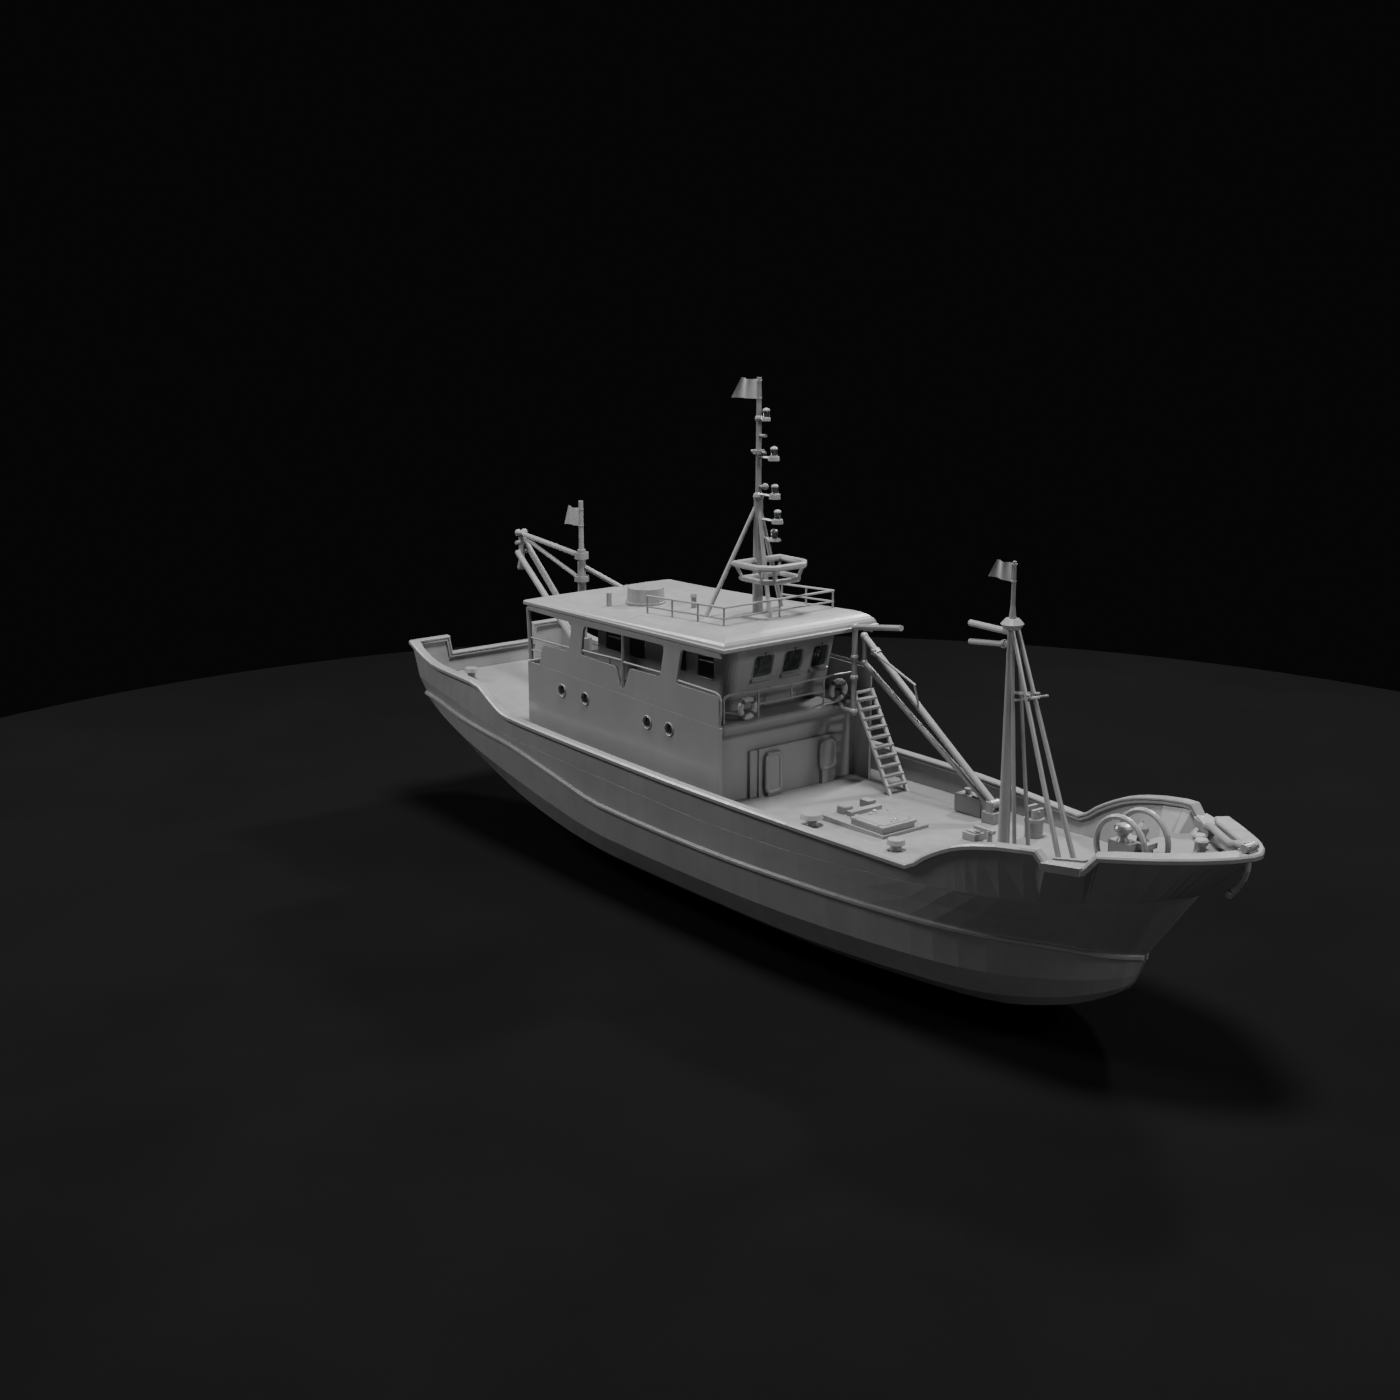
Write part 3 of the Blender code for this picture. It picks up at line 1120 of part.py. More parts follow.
def aft_derrick():
    """Post behind the house and the slewing derrick that hangs over the stern."""
    x = AFT_POST_X
    z0 = deck_z(x) - 0.05
    post = [rod_bm((x, 0, z0), (x, 0, 6.85), 0.17, 0.13, 14),
            rod_bm((x, 0, 6.8), (x, 0, 8.43), 0.085, 0.075, 10),
            rod_bm((x, 0, 3.36), (x, 0, 3.45 - RUN), 0.27, sides=16),
            rod_bm((x, 0, 6.33), (ROOF_AFT_X + 0.25, 0.75, roof_top_z(ROOF_AFT_X + 0.25) - 0.04), 0.08, sides=9)]
    smooth(standing("aft_post", post, below_deck(), STEEL))
    cut(bpy.data.objects["aft_post"], [below_roof()], STEEL)
    head = Vector((-14.05, 0, 6.92))
    shapes = []
    collar = rod_bm((x, 0, 3.45), (x, 0, 3.95), 0.30, sides=16)
    shapes.append(collar)
    shapes.append(rod_bm((x, 0, 6.54), (x, 0, 6.76), 0.23, sides=16))
    shapes.append(rod_bm((x, 0, 5.80), (x, 0, 5.98), 0.24, sides=16))
    shapes += [rod_bm((x - 0.2, -0.16, 3.72), (head.x, -0.16, head.z - 0.62), 0.115, 0.10, 9),
               rod_bm((x - 0.2, 0.16, 3.72), (head.x, 0.16, head.z - 0.30), 0.115, 0.10, 9),
               ball_bm((head.x, -0.12, head.z + 0.04), 0.12, 9), ball_bm((head.x, 0.12, head.z + 0.04), 0.12, 9),
               rod_bm((head.x, -0.2, head.z), (head.x, 0.2, head.z), 0.07, sides=9),
               rod_bm((x - 0.19, 0, 6.65), (head.x, 0, head.z), 0.085, sides=9),
               rod_bm((x - 0.20, 0, 5.90), (head.x + 0.15, 0, head.z - 0.1), 0.07, sides=9),
               rod_bm((head.x, 0, head.z - 0.85), (head.x, 0, head.z + 0.06), 0.10, sides=9),
               rod_bm((head.x, -0.22, head.z - 0.62), (head.x, 0.22, head.z - 0.62), 0.07, sides=9),
               rod_bm((head.x, -0.22, head.z - 0.30), (head.x, 0.22, head.z - 0.30), 0.07, sides=9),
               rod_bm((head.x - 0.02, 0, head.z - 1.16), (head.x - 0.02, 0, head.z - 0.73), 0.155, 0.06, 12),
               rod_bm((head.x - 0.02, 0, head.z - 1.22), (head.x - 0.02, 0, head.z - 1.14), 0.13, 0.15, 12)]
    item = joined("aft_derrick", shapes, STEEL)
    bore = rod_bm((x, 0, 3.2), (x, 0, 6.9), 0.185, sides=20)
    cut(item, [bore], STEEL)
    smooth(item)
    set_origin(item, (x, 0, 3.45))


def below_foredeck():
    """Everything under the raised bow deck, as a cutter for what stands on it."""
    x0, x1 = FOREDECK_X - 0.5, 15.0
    return prism_bm([(x0, 1.0), (x1, 1.0), (x1, foredeck_z(x1) + GAP), (x0, foredeck_z(x0) + GAP)], -3, 3)


# Heads of the windlass as (height above its top, radius)
CAPSTANS = {
    "capstan_stbd": (12.30, -0.20, [(0.0, 0.15), (0.10, 0.10), (0.16, 0.13), (0.26, 0.225), (0.34, 0.235),
                                    (0.40, 0.20), (0.44, 0.09)]),
    "capstan_port": (12.54, 0.19, [(0.0, 0.13), (0.09, 0.10), (0.15, 0.135), (0.23, 0.165), (0.32, 0.155),
                                   (0.39, 0.10), (0.46, 0.035), (0.50, 0.025)]),
}


def turned_bm(x, y, z, profile, sides=20):
    """A round head turned from a profile of heights and radii."""
    bm = bmesh.new()
    rings = []
    for height, radius in profile:
        rings.append([bm.verts.new((x + radius * math.cos(2 * math.pi * k / sides),
                                    y + radius * math.sin(2 * math.pi * k / sides), z + height))
                      for k in range(sides)])
    for a, b in zip(rings, rings[1:]):
        for k in range(sides):
            j = (k + 1) % sides
            bm.faces.new((a[k], a[j], b[j], b[k]))
    bm.faces.new(rings[0][::-1])
    bm.faces.new(rings[-1])
    return bm


def windlass():
    """Windlass with two turning heads between its two fixed guard hoops."""
    x, top, half = WINDLASS_X, 2.86, 0.3547
    deep = foredeck_z(x) - 0.3
    base = [box_bm((x - 0.44, -half, deep), (x + 0.20, half, top)),
            box_bm((x - 0.12, -0.05, top - 0.14), (x + 0.48, half, top)),
            box_bm((x + 0.10, 0.02, deep), (x + 0.40, half - 0.05, top - 0.05)),
            box_bm((x - 0.38, -half - 0.02, top - 0.40), (x + 0.14, half - 0.3, top - 0.12))]
    base[3] = box_bm((x - 0.47, -half + 0.06, top - 0.34), (x - 0.40, half - 0.06, top - 0.10))
    standing("windlass_base", base, below_foredeck(), STEEL)
    for side, name in ((-1, "stbd"), (1, "port")):
        ring = torus_bm((x, side * (half + GAP + 0.074), 2.78), 0.74, 0.075, "Y", 32, 8)
        smooth(standing(f"hoop_{name}", [ring], below_foredeck(), STEEL), 50)
    for name, (cx, cy, profile) in CAPSTANS.items():
        item = add_object(name, mesh_from(turned_bm(cx, cy, top + RUN, profile), name), STEEL)
        set_origin(smooth(item, 45), (cx, cy, top))


def anchor_gear():
    """Arm that leads from the port mooring pad to the bow tip, and the anchor under the tip."""
    bow = bpy.data.objects["bulwark_bow"]
    z = PAD_Z[1]
    arm = [tube_bm([(12.98, 2.08, z + 0.02), (13.08, 2.03, z + 0.09), (13.30, 1.86, z + 0.15), (13.66, 1.50, 3.14),
                    (14.25, 1.02, 3.20), (14.83, 0.52, 3.30), (15.12, 0.27, 3.42), (15.34, 0.08, 3.52),
                    (15.60, 0.0, 3.54)], 0.09, 10),
           box_bm((15.52, -0.15, 3.38), (15.86, 0.15, 3.50)),
           rod_bm((15.74, -0.22, 3.56), (15.74, 0.22, 3.56), 0.10, sides=13),
           box_bm((15.60, -0.15, 3.40), (15.84, -0.09, 3.63)), box_bm((15.60, 0.09, 3.40), (15.84, 0.15, 3.63))]
    anchor = [tube_bm([(15.875, -0.20, 3.30), (15.86, -0.20, 3.08), (15.76, -0.16, 2.84), (15.60, -0.10, 2.62),
                       (15.42, -0.05, 2.44)], 0.07, 10),
              rod_bm((15.52, -0.07, 2.54), (15.29, -0.04, 2.29), 0.075, 0.105, 10),
              rod_bm((15.40, -0.22, 2.41), (15.40, 0.12, 2.41), 0.05, sides=9)]
    for name, shapes, lift, grow in (("anchor_davit", arm, 0.0004, 1.0), ("anchor", anchor, 0.0, 1.001)):
        item = joined(name, shapes, STEEL)
        rail = bmesh_of(bow)
        centre = Vector((15.0, 0.0, 3.6))
        for vert in rail.verts:
            vert.co = centre + (vert.co - centre) * grow + Vector((0, 0, lift))
        cut(item, [rail], STEEL)
        smooth(item)


HATCH_HINGE_X = 3.56
HATCH_TOP = 1.40


def hatch():
    """Low hatch coaming with a raised square hatch, its hinged lid, a bar and a round cap."""
    x0, x1, y0, y1 = 2.45, 4.98, -1.08, 0.62
    low, top = 1.27, HATCH_TOP
    outline = [(x0, deck_z(x0) + GAP), (4.0, deck_z(4.0) + GAP), (x1, deck_z(x1) + GAP), (x1, low), (x0, low)]
    shapes = [prism_bm(outline, y0, y1), box_bm((3.62, -1.00, low - 0.05), (4.88, 0.18, top)),
              box_bm((3.00, -0.60, low - 0.05), (3.22, 0.55, low + 0.14)),
              rod_bm((2.74, -0.42, low - 0.05), (2.74, -0.42, low + 0.20), 0.24, 0.22, 18),
              box_bm((2.58, 0.28, low - 0.05), (2.93, 0.58, low + 0.22))]
    item = joined("hatch_coaming", shapes, STEEL)
    cut(item, [box_bm((3.72, -0.90, top - 0.20), (4.78, 0.08, top + 0.1))], STEEL)
    lid_shapes = [box_bm((3.63, -1.04, top + RUN), (4.92, 0.22, top + 0.07)),
                  box_bm((3.75, -0.90, top + 0.06), (4.80, 0.08, top + 0.085))]
    pin_z = top + 0.04
    for y in (-0.75, -0.07):
        lid_shapes.append(rod_bm((HATCH_HINGE_X, y - 0.08, pin_z), (HATCH_HINGE_X, y + 0.08, pin_z), 0.03, sides=10))
        lid_shapes.append(box_bm((HATCH_HINGE_X, y - 0.05, pin_z - 0.015), (3.66, y + 0.05, pin_z + 0.015)))
    lid = joined("hatch_lid", lid_shapes, STEEL)
    set_origin(lid, (HATCH_HINGE_X, -0.41, pin_z))


def stern_gear():
    """Propeller, shaft boss and rudder under the counter."""
    x = -11.05
    hub = rod_bm((x - 0.22, 0, SHAFT_Z), (SKEG_AFT_X - RUN, 0, SHAFT_Z), 0.13, 0.16, 16)
    shapes = [hub, ball_bm((x - 0.22, 0, SHAFT_Z), 0.13, 12)]
    radius = 0.58
    for k in range(4):
        blade = bmesh.new()
        bmesh.ops.create_uvsphere(blade, u_segments=10, v_segments=6, radius=0.5)
        bmesh.ops.scale(blade, vec=(0.07, 0.52, 1.02 * radius), verts=blade.verts)
        bmesh.ops.rotate(blade, matrix=Matrix.Rotation(math.radians(38), 3, "Z"), verts=blade.verts)
        bmesh.ops.translate(blade, vec=(0, 0, radius * 0.52), verts=blade.verts)
        bmesh.ops.rotate(blade, matrix=Matrix.Rotation(math.radians(90 * k + 20), 3, "X"), verts=blade.verts)
        bmesh.ops.translate(blade, vec=(x, 0, SHAFT_Z), verts=blade.verts)
        shapes.append(blade)
    item = joined("propeller", shapes, BRONZE)
    smooth(item)
    set_origin(item, (x, 0, SHAFT_Z))

    rx, rz0 = -12.02, -2.13
    rz1 = keel_z(rx + STOCK_R) - GAP
    blade = [prism_bm([(rx - 1.08, rz0), (rx + 0.22, rz0), (rx + 0.22, -1.12), (rx - 1.08, -0.82)], -0.07, 0.07),
             rod_bm((rx, 0, rz0 + 0.02), (rx, 0, rz1), STOCK_R, sides=24)]
    rudder = joined("rudder", blade, PAINT)
    set_origin(smooth(rudder), (rx, 0, -1.0))

    top = [(row["x_keel"], row["z_keel"] - GAP) for row in ROWS if SKEG_AFT_X < row["x_keel"] < -6.3]
    skeg = [prism_bm(top + [(top[-1][0], -2.24), (-10.3, -2.34), (top[0][0], -2.20)], -0.07, 0.07),
            rod_bm((SKEG_AFT_X, 0, SHAFT_Z), (-9.1, 0, SHAFT_Z), 0.16, 0.08, 14)]
    joined("skeg", skeg, PAINT)


def ladder():
    """Sloping ladder from the fore deck to the upper deck's port front corner."""
    foot = Vector((1.98, 0, deck_z(1.98) - 0.05))
    head = Vector((0.34, 0, 3.86))
    shapes = []
    for y in (2.06, 2.76):
        side = Vector((0, y, 0))
        shapes.append(rod_bm(foot + side, head + side, 0.075, sides=8))
    treads = 10
    for i in range(treads):
        t = 0.10 + 0.82 * i / (treads - 1)
        p = foot + (head - foot) * t
        shapes.append(box_bm((p.x - 0.10, 2.03, p.z - 0.035), (p.x + 0.10, 2.79, p.z + 0.035)))
    shapes.append(rod_bm(head + Vector((-0.02, 2.04, -0.04)), head + Vector((-0.02, 2.78, -0.04)), 0.055, sides=7))
    return smooth(standing("ladder", shapes, below_deck(), STEEL))


# Mooring posts: name, x, y, radius, height, head radius
MOORING_POSTS = [
    ("bitt_stbd_aft", 2.70, -1.62, 0.15, 0.30, 0.33),
    ("bitt_stbd_fore", 5.90, -1.50, 0.16, 0.26, 0.26),
    ("stern_bitt_stbd", -14.90, -1.60, 0.14, 0.36, 0.24),
    ("stern_bitt_port", -14.90, 1.60, 0.14, 0.36, 0.24),
]
BOW_BITTS = [(13.50, 1.14, 0.36), (13.90, 0.70, 0.36)]   # x, y, height over the raised deck


def mooring_posts():
    for name, x, y, radius, height, head in MOORING_POSTS:
        low = max(deck_z(x - radius), deck_z(x + radius)) + GAP
        shapes = [rod_bm((x, y, low), (x, y, low + height), radius, sides=14),
                  rod_bm((x, y, low + height - 0.09), (x, y, low + height + 0.04), head, head * 0.85, 16)]
        smooth(joined(name, shapes, STEEL))
    shapes = []
    for x, y, height in BOW_BITTS:
        z = foredeck_z(x)
        shapes += [rod_bm((x, y, z - 0.1), (x, y, z + height), 0.11, sides=13),
                   rod_bm((x, y, z + height - 0.10), (x, y, z + height), 0.15, 0.18, 16),
                   rod_bm((x, y, z + height - 0.001), (x, y, z + height + 0.04), 0.18, 0.14, 16)]
    (xa, ya, _), (xb, yb, _) = BOW_BITTS
    shapes.append(rod_bm((xa, ya, foredeck_z(xa)), (xb, yb, foredeck_z(xb)), 0.08, sides=9))
    smooth(standing("bow_bitt", shapes, below_foredeck(), STEEL))


def deck_gear():
    """Winch box, port bollard and tee cleat on the fore deck."""
    x0, x1, y0, y1 = 4.30, 5.28, 2.30, 2.75
    low = deck_z(x1) + GAP
    shapes = [box_bm((x0, y0, low), (x1, y1, 1.70)),
              rod_bm((4.62, 2.52, 1.65), (4.62, 2.52, 1.86), 0.07, 0.12, 12),
              box_bm((4.9, 2.36, 1.68), (5.2, 2.69, 1.75))]
    joined("winch_box", shapes, STEEL)

    x, y = 7.49, 2.05
    shapes = [rod_bm((x, y, deck_z(x) - 0.05), (x, y, 1.78), 0.25, sides=18), rod_bm((x, y, 1.70), (x, y, 1.81), 0.28, sides=18),
              box_bm((x - 0.16, y - 0.20, 1.78), (x - 0.06, y + 0.20, 2.13)),
              box_bm((x + 0.06, y - 0.20, 1.78), (x + 0.16, y + 0.20, 2.07)),
              rod_bm((x - 0.2, y, 1.98), (x + 0.2, y, 1.98), 0.05, sides=9)]
    smooth(standing("bollard_port", shapes, below_deck(), STEEL), 35)

    x, y = 7.17, 0.69
    low = foot_z(x, 0.12)
    shapes = [rod_bm((x, y, low), (x, y, 1.62), 0.08, sides=12),
              box_bm((6.62, y - 0.05, 1.56), (7.34, y + 0.05, 1.66)),
              rod_bm((x, y, low), (x, y, low + 0.05), 0.115, sides=13)]
    joined("tee_cleat", shapes, STEEL)
    low = foot_z(6.58, 0.23)
    shapes = [box_bm((6.36, 0.50, low), (6.81, 1.00, 1.45)), box_bm((6.42, 0.58, 1.44), (6.75, 0.92, 1.49))]
    joined("deck_box", shapes, STEEL)


deckhouse()
front_casing()
side_walls()
upper_deck()
screens()
roof()
wheelhouse()
front_railing()
roof_fittings()
main_mast()
fore_mast()
boom_crutch()
fore_boom()
aft_derrick()
windlass()
anchor_gear()
hatch()
stern_gear()
ladder()
mooring_posts()
deck_gear()
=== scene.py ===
"""Looks for the fishing boat: materials, fittings, flags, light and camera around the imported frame."""
import json
import math

import bmesh
import bpy
from mathutils import Matrix, Vector


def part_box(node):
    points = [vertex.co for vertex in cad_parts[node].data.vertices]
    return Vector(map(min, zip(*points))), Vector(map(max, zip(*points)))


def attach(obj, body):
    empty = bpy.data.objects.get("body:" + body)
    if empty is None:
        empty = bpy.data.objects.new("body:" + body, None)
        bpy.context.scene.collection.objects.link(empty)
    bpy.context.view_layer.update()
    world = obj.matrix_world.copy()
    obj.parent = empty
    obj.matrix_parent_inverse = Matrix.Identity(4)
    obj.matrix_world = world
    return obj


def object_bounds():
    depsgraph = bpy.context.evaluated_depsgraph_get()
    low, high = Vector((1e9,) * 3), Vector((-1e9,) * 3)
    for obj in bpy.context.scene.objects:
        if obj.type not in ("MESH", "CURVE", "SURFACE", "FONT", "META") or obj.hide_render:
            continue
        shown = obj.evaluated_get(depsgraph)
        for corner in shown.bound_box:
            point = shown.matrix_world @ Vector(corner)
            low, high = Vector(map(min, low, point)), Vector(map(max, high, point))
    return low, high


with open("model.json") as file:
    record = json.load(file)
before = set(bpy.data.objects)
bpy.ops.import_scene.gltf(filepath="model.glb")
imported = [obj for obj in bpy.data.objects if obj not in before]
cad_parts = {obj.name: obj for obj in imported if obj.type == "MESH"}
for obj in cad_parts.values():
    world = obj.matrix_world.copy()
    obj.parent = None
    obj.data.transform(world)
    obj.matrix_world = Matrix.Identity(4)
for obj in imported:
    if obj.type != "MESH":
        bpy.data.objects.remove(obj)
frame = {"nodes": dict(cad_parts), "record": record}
CAD_BOUNDS = [list(corner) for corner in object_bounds()]
NODES = frame["nodes"]

VESSEL = "vessel"

CAMERA_LENS = 50.0
CAMERA_SENSOR = 36.0
CAMERA_PLACE = (40.82, -35.65, 17.50)
CAMERA_RIGHT = (0.6200, 0.7846, 0.0)
CAMERA_FORWARD = (-0.7610, 0.6013, -0.2440)
CAMERA_REACH = 400.0

# The floor lies just under the propeller, which is the part's lowest point
FLOOR_Z = CAD_BOUNDS[0][2] - 0.02
FLOOR_RADIUS = 38.5
WORLD_STRENGTH = 0.004

# Lights: name, place, target, size, power
LIGHTS = [
    ("key", (-9, 49, 46), (0, 0, 2), 7, 40000),
    ("quarter", (-46, -34, 36), (-4, 0, 3), 16, 30000),
    ("top", (4, -4, 60), (0, 0, 0), 16, 62000),
    ("bow", (62, 20, 38), (4, 0, 3), 10, 16000),
    ("low", (34, -40, 4), (6, 0, -1), 14, 2600),
]


# camera, floor and light

def camera():
    data = bpy.data.cameras.new("view")
    data.lens = CAMERA_LENS
    data.sensor_width = CAMERA_SENSOR
    data.sensor_fit = "HORIZONTAL"
    data.clip_end = CAMERA_REACH
    item = bpy.data.objects.new("view", data)
    bpy.context.scene.collection.objects.link(item)
    right = Vector(CAMERA_RIGHT).normalized()
    forward = Vector(CAMERA_FORWARD).normalized()
    up = right.cross(forward)
    turn = Matrix((right, up, -forward)).transposed()
    item.matrix_world = Matrix.Translation(CAMERA_PLACE) @ turn.to_4x4()
    bpy.context.scene.camera = item


def area_light(name, place, target, size, power):
    data = bpy.data.lights.new(name, "AREA")
    data.shape = "DISK"
    data.size = size
    data.energy = power
    item = bpy.data.objects.new(name, data)
    bpy.context.scene.collection.objects.link(item)
    item.location = place
    item.rotation_euler = (Vector(target) - Vector(place)).to_track_quat("-Z", "Y").to_euler()


def stage():
    """A dark studio: a key from port and above, soft lights round it, and a dark floor."""
    world = bpy.data.worlds.new("studio")
    bpy.context.scene.world = world
    world.use_nodes = True
    world.node_tree.nodes["Background"].inputs["Color"].default_value = (0.80, 0.81, 0.82, 1)
    world.node_tree.nodes["Background"].inputs["Strength"].default_value = WORLD_STRENGTH
    for name, place, target, size, power in LIGHTS:
        area_light(name, place, target, size, power)
    bm = bmesh.new()
    bmesh.ops.create_circle(bm, cap_ends=True, segments=128, radius=FLOOR_RADIUS)
    item = piece_from("floor", bm, None, None)
    item.location.z = FLOOR_Z
    n = Nodes("floor")
    tone = n.spread(n.noise(0.12, 4), 0.3, 0.7)
    n.put(n.shader, "Base Color", n.mix(tone, (0.0057, 0.0057, 0.0058), (0.0071, 0.0071, 0.0072)))
    n.put(n.shader, "Specular IOR Level", 0.0)
    n.put(n.shader, "Roughness", n.spread(n.noise(0.8, 4), 0.3, 0.7, 0.62, 0.74))
    item.data.materials.append(n.material)


# shapes

def rod(a, b, radius, sides=16):
    a, b = Vector(a), Vector(b)
    bm = bmesh.new()
    bmesh.ops.create_cone(bm, cap_ends=True, segments=sides, radius1=radius, radius2=radius,
                          depth=(b - a).length)
    turn = Vector((0, 0, 1)).rotation_difference(b - a).to_matrix().to_4x4()
    bmesh.ops.transform(bm, matrix=Matrix.Translation((a + b) / 2) @ turn, verts=bm.verts)
    return bm


def block(low, high, bevel, steps=2):
    """A box with rounded edges."""
    bm = bmesh.new()
    size = [b - a for a, b in zip(low, high)]
    middle = [(a + b) / 2 for a, b in zip(low, high)]
    bmesh.ops.create_cube(bm, size=1.0)
    bmesh.ops.scale(bm, vec=size, verts=bm.verts)
    bmesh.ops.translate(bm, vec=middle, verts=bm.verts)
    bmesh.ops.bevel(bm, geom=bm.edges[:], offset=min(bevel, 0.45 * min(size)), segments=steps,
                    affect="EDGES", profile=0.5)
    return bm


def tube(points, radius, sides=12, closed=False):
    """A bent tube along points, capped unless it is closed."""
    bm = bmesh.new()
    path = [Vector(p) for p in points]
    count = len(path)
    rings, normal, last = [], None, None
    for i, point in enumerate(path):
        before = path[i - 1] if closed or i else None
        after = path[(i + 1) % count] if closed or i < count - 1 else None
        first = (point - before).normalized() if before is not None else (after - point).normalized()
        second = (after - point).normalized() if after is not None else first
        along = (first + second).normalized()
        if normal is None:
            guess = Vector((0, 0, 1)) if abs(along.z) < 0.9 else Vector((1, 0, 0))
            normal = along.cross(guess).normalized()
        else:
            normal = last.rotation_difference(along) @ normal
        last = along.copy()
        side = along.cross(normal)
        bend = second - first
        out = bend.normalized() if bend.length > 1e-5 else None
        stretch = min(1 / max(math.cos(first.angle(second, 0) / 2), 0.5), 2.0) - 1
        ring = []
        for k in range(sides):
            angle = 2 * math.pi * k / sides
            offset = normal * (radius * math.cos(angle)) + side * (radius * math.sin(angle))
            if out is not None:
                offset = offset + out * (offset.dot(out) * stretch)
            ring.append(bm.verts.new(point + offset))
        rings.append(ring)
    pairs = list(zip(rings, rings[1:])) + ([(rings[-1], rings[0])] if closed else [])
    for a, b in pairs:
        for k in range(sides):
            bm.faces.new((a[k], a[(k + 1) % sides], b[(k + 1) % sides], b[k]))
    if not closed:
        bm.faces.new(rings[0][::-1])
        bm.faces.new(rings[-1])
    return bm


def ring(centre, major, minor, axis, steps, sides):
    """A round tube about an axis through centre."""
    points = []
    for i in range(steps):
        a = 2 * math.pi * i / steps
        c, s = major * math.cos(a), major * math.sin(a)
        offset = {"X": (0, c, s), "Y": (c, 0, s), "Z": (c, s, 0)}[axis]
        points.append([p + q for p, q in zip(centre, offset)])
    return tube(points, minor, sides, closed=True)


def rounded(low, high, radius, steps=6):
    """Corner points of a rounded rectangle in a plane, counter-clockwise."""
    (u0, v0), (u1, v1) = low, high
    points = []
    for cu, cv, start in ((u1 - radius, v1 - radius, 0), (u0 + radius, v1 - radius, 90),
                          (u0 + radius, v0 + radius, 180), (u1 - radius, v0 + radius, 270)):
        for i in range(steps + 1):
            a = math.radians(start + 90 * i / steps)
            points.append((cu + radius * math.cos(a), cv + radius * math.sin(a)))
    return points


def piece_from(name, bm, material, body=VESSEL, angle=40):
    bmesh.ops.recalc_face_normals(bm, faces=bm.faces)
    mesh = bpy.data.meshes.new(name)
    bm.to_mesh(mesh)
    bm.free()
    item = bpy.data.objects.new(name, mesh)
    bpy.context.scene.collection.objects.link(item)
    if material is not None:
        mesh.materials.append(material)
    mesh.shade_smooth()
    mesh.set_sharp_from_angle(angle=math.radians(angle))
    if body is not None:
        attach(item, body)
    return item


def group(name, shapes, material, body=VESSEL):
    """Several closed shapes as one piece."""
    whole = bmesh.new()
    for shape in shapes:
        bmesh.ops.recalc_face_normals(shape, faces=shape.faces)
        mesh = bpy.data.meshes.new("part")
        shape.to_mesh(mesh)
        shape.free()
        whole.from_mesh(mesh)
        bpy.data.meshes.remove(mesh)
    item = piece_from(name, whole, material, body)
    return item


# materials

class Nodes:
    """Short calls for building a shader."""

    def __init__(self, name):
        self.material = bpy.data.materials.new(name)
        self.material.use_nodes = True
        self.tree = self.material.node_tree
        self.shader = self.tree.nodes["Principled BSDF"]

    def add(self, kind, **inputs):
        node = self.tree.nodes.new(kind)
        for key, value in inputs.items():
            self.put(node, key.replace("_", " "), value)
        return node

    def put(self, node, key, value):
        socket = node.inputs[int(key[1:])] if key[0] == "i" and key[1:].isdigit() else node.inputs[key]
        if isinstance(value, bpy.types.NodeSocket):
            self.tree.links.new(value, socket)
        else:
            socket.default_value = value

    def math(self, operation, a, b):
        node = self.add("ShaderNodeMath", i0=a, i1=b)
        node.operation = operation
        return node.outputs[0]

    def place(self, scale=(1, 1, 1)):
        coordinates = self.add("ShaderNodeTexCoord").outputs["Object"]
        return self.add("ShaderNodeMapping", Vector=coordinates, Scale=scale).outputs["Vector"]

    def noise(self, scale, detail=4.0, rough=0.55, stretch=(1, 1, 1)):
        node = self.add("ShaderNodeTexNoise", Vector=self.place(stretch), Scale=scale, Detail=detail,
                        Roughness=rough)
        return node.outputs["Fac"]

    def spread(self, value, low, high, out_low=0.0, out_high=1.0):
        node = self.add("ShaderNodeMapRange", Value=value)
        for key, number in (("From Min", low), ("From Max", high), ("To Min", out_low), ("To Max", out_high)):
            node.inputs[key].default_value = number
        return node.outputs["Result"]

    def mix(self, share, a, b):
        node = self.tree.nodes.new("ShaderNodeMix")
        node.data_type = "RGBA"
        self.put(node, "i0", share)
        for index, value in ((6, a), (7, b)):
            if isinstance(value, tuple):
                node.inputs[index].default_value = (*value, 1.0)
            else:
                self.tree.links.new(value, node.inputs[index])
        return node.outputs[2]

    def bump(self, height, strength, distance, normal=None):
        node = self.add("ShaderNodeBump", Height=height, Strength=strength, Distance=distance)
        if normal is not None:
            self.put(node, "Normal", normal)
        return node.outputs["Normal"]


def edge_mask(n, radius):
    """Rounded shading normal, and a mask that is 1 on worn edges."""
    bevel = n.add("ShaderNodeBevel", Radius=radius)
    bevel.samples = 4
    geometry = n.add("ShaderNodeNewGeometry")
    dot = n.tree.nodes.new("ShaderNodeVectorMath")
    dot.operation = "DOT_PRODUCT"
    n.put(dot, "i0", bevel.outputs["Normal"])
    n.put(dot, "i1", geometry.outputs["Normal"])
    return bevel.outputs["Normal"], n.spread(dot.outputs["Value"], 0.995, 0.90)


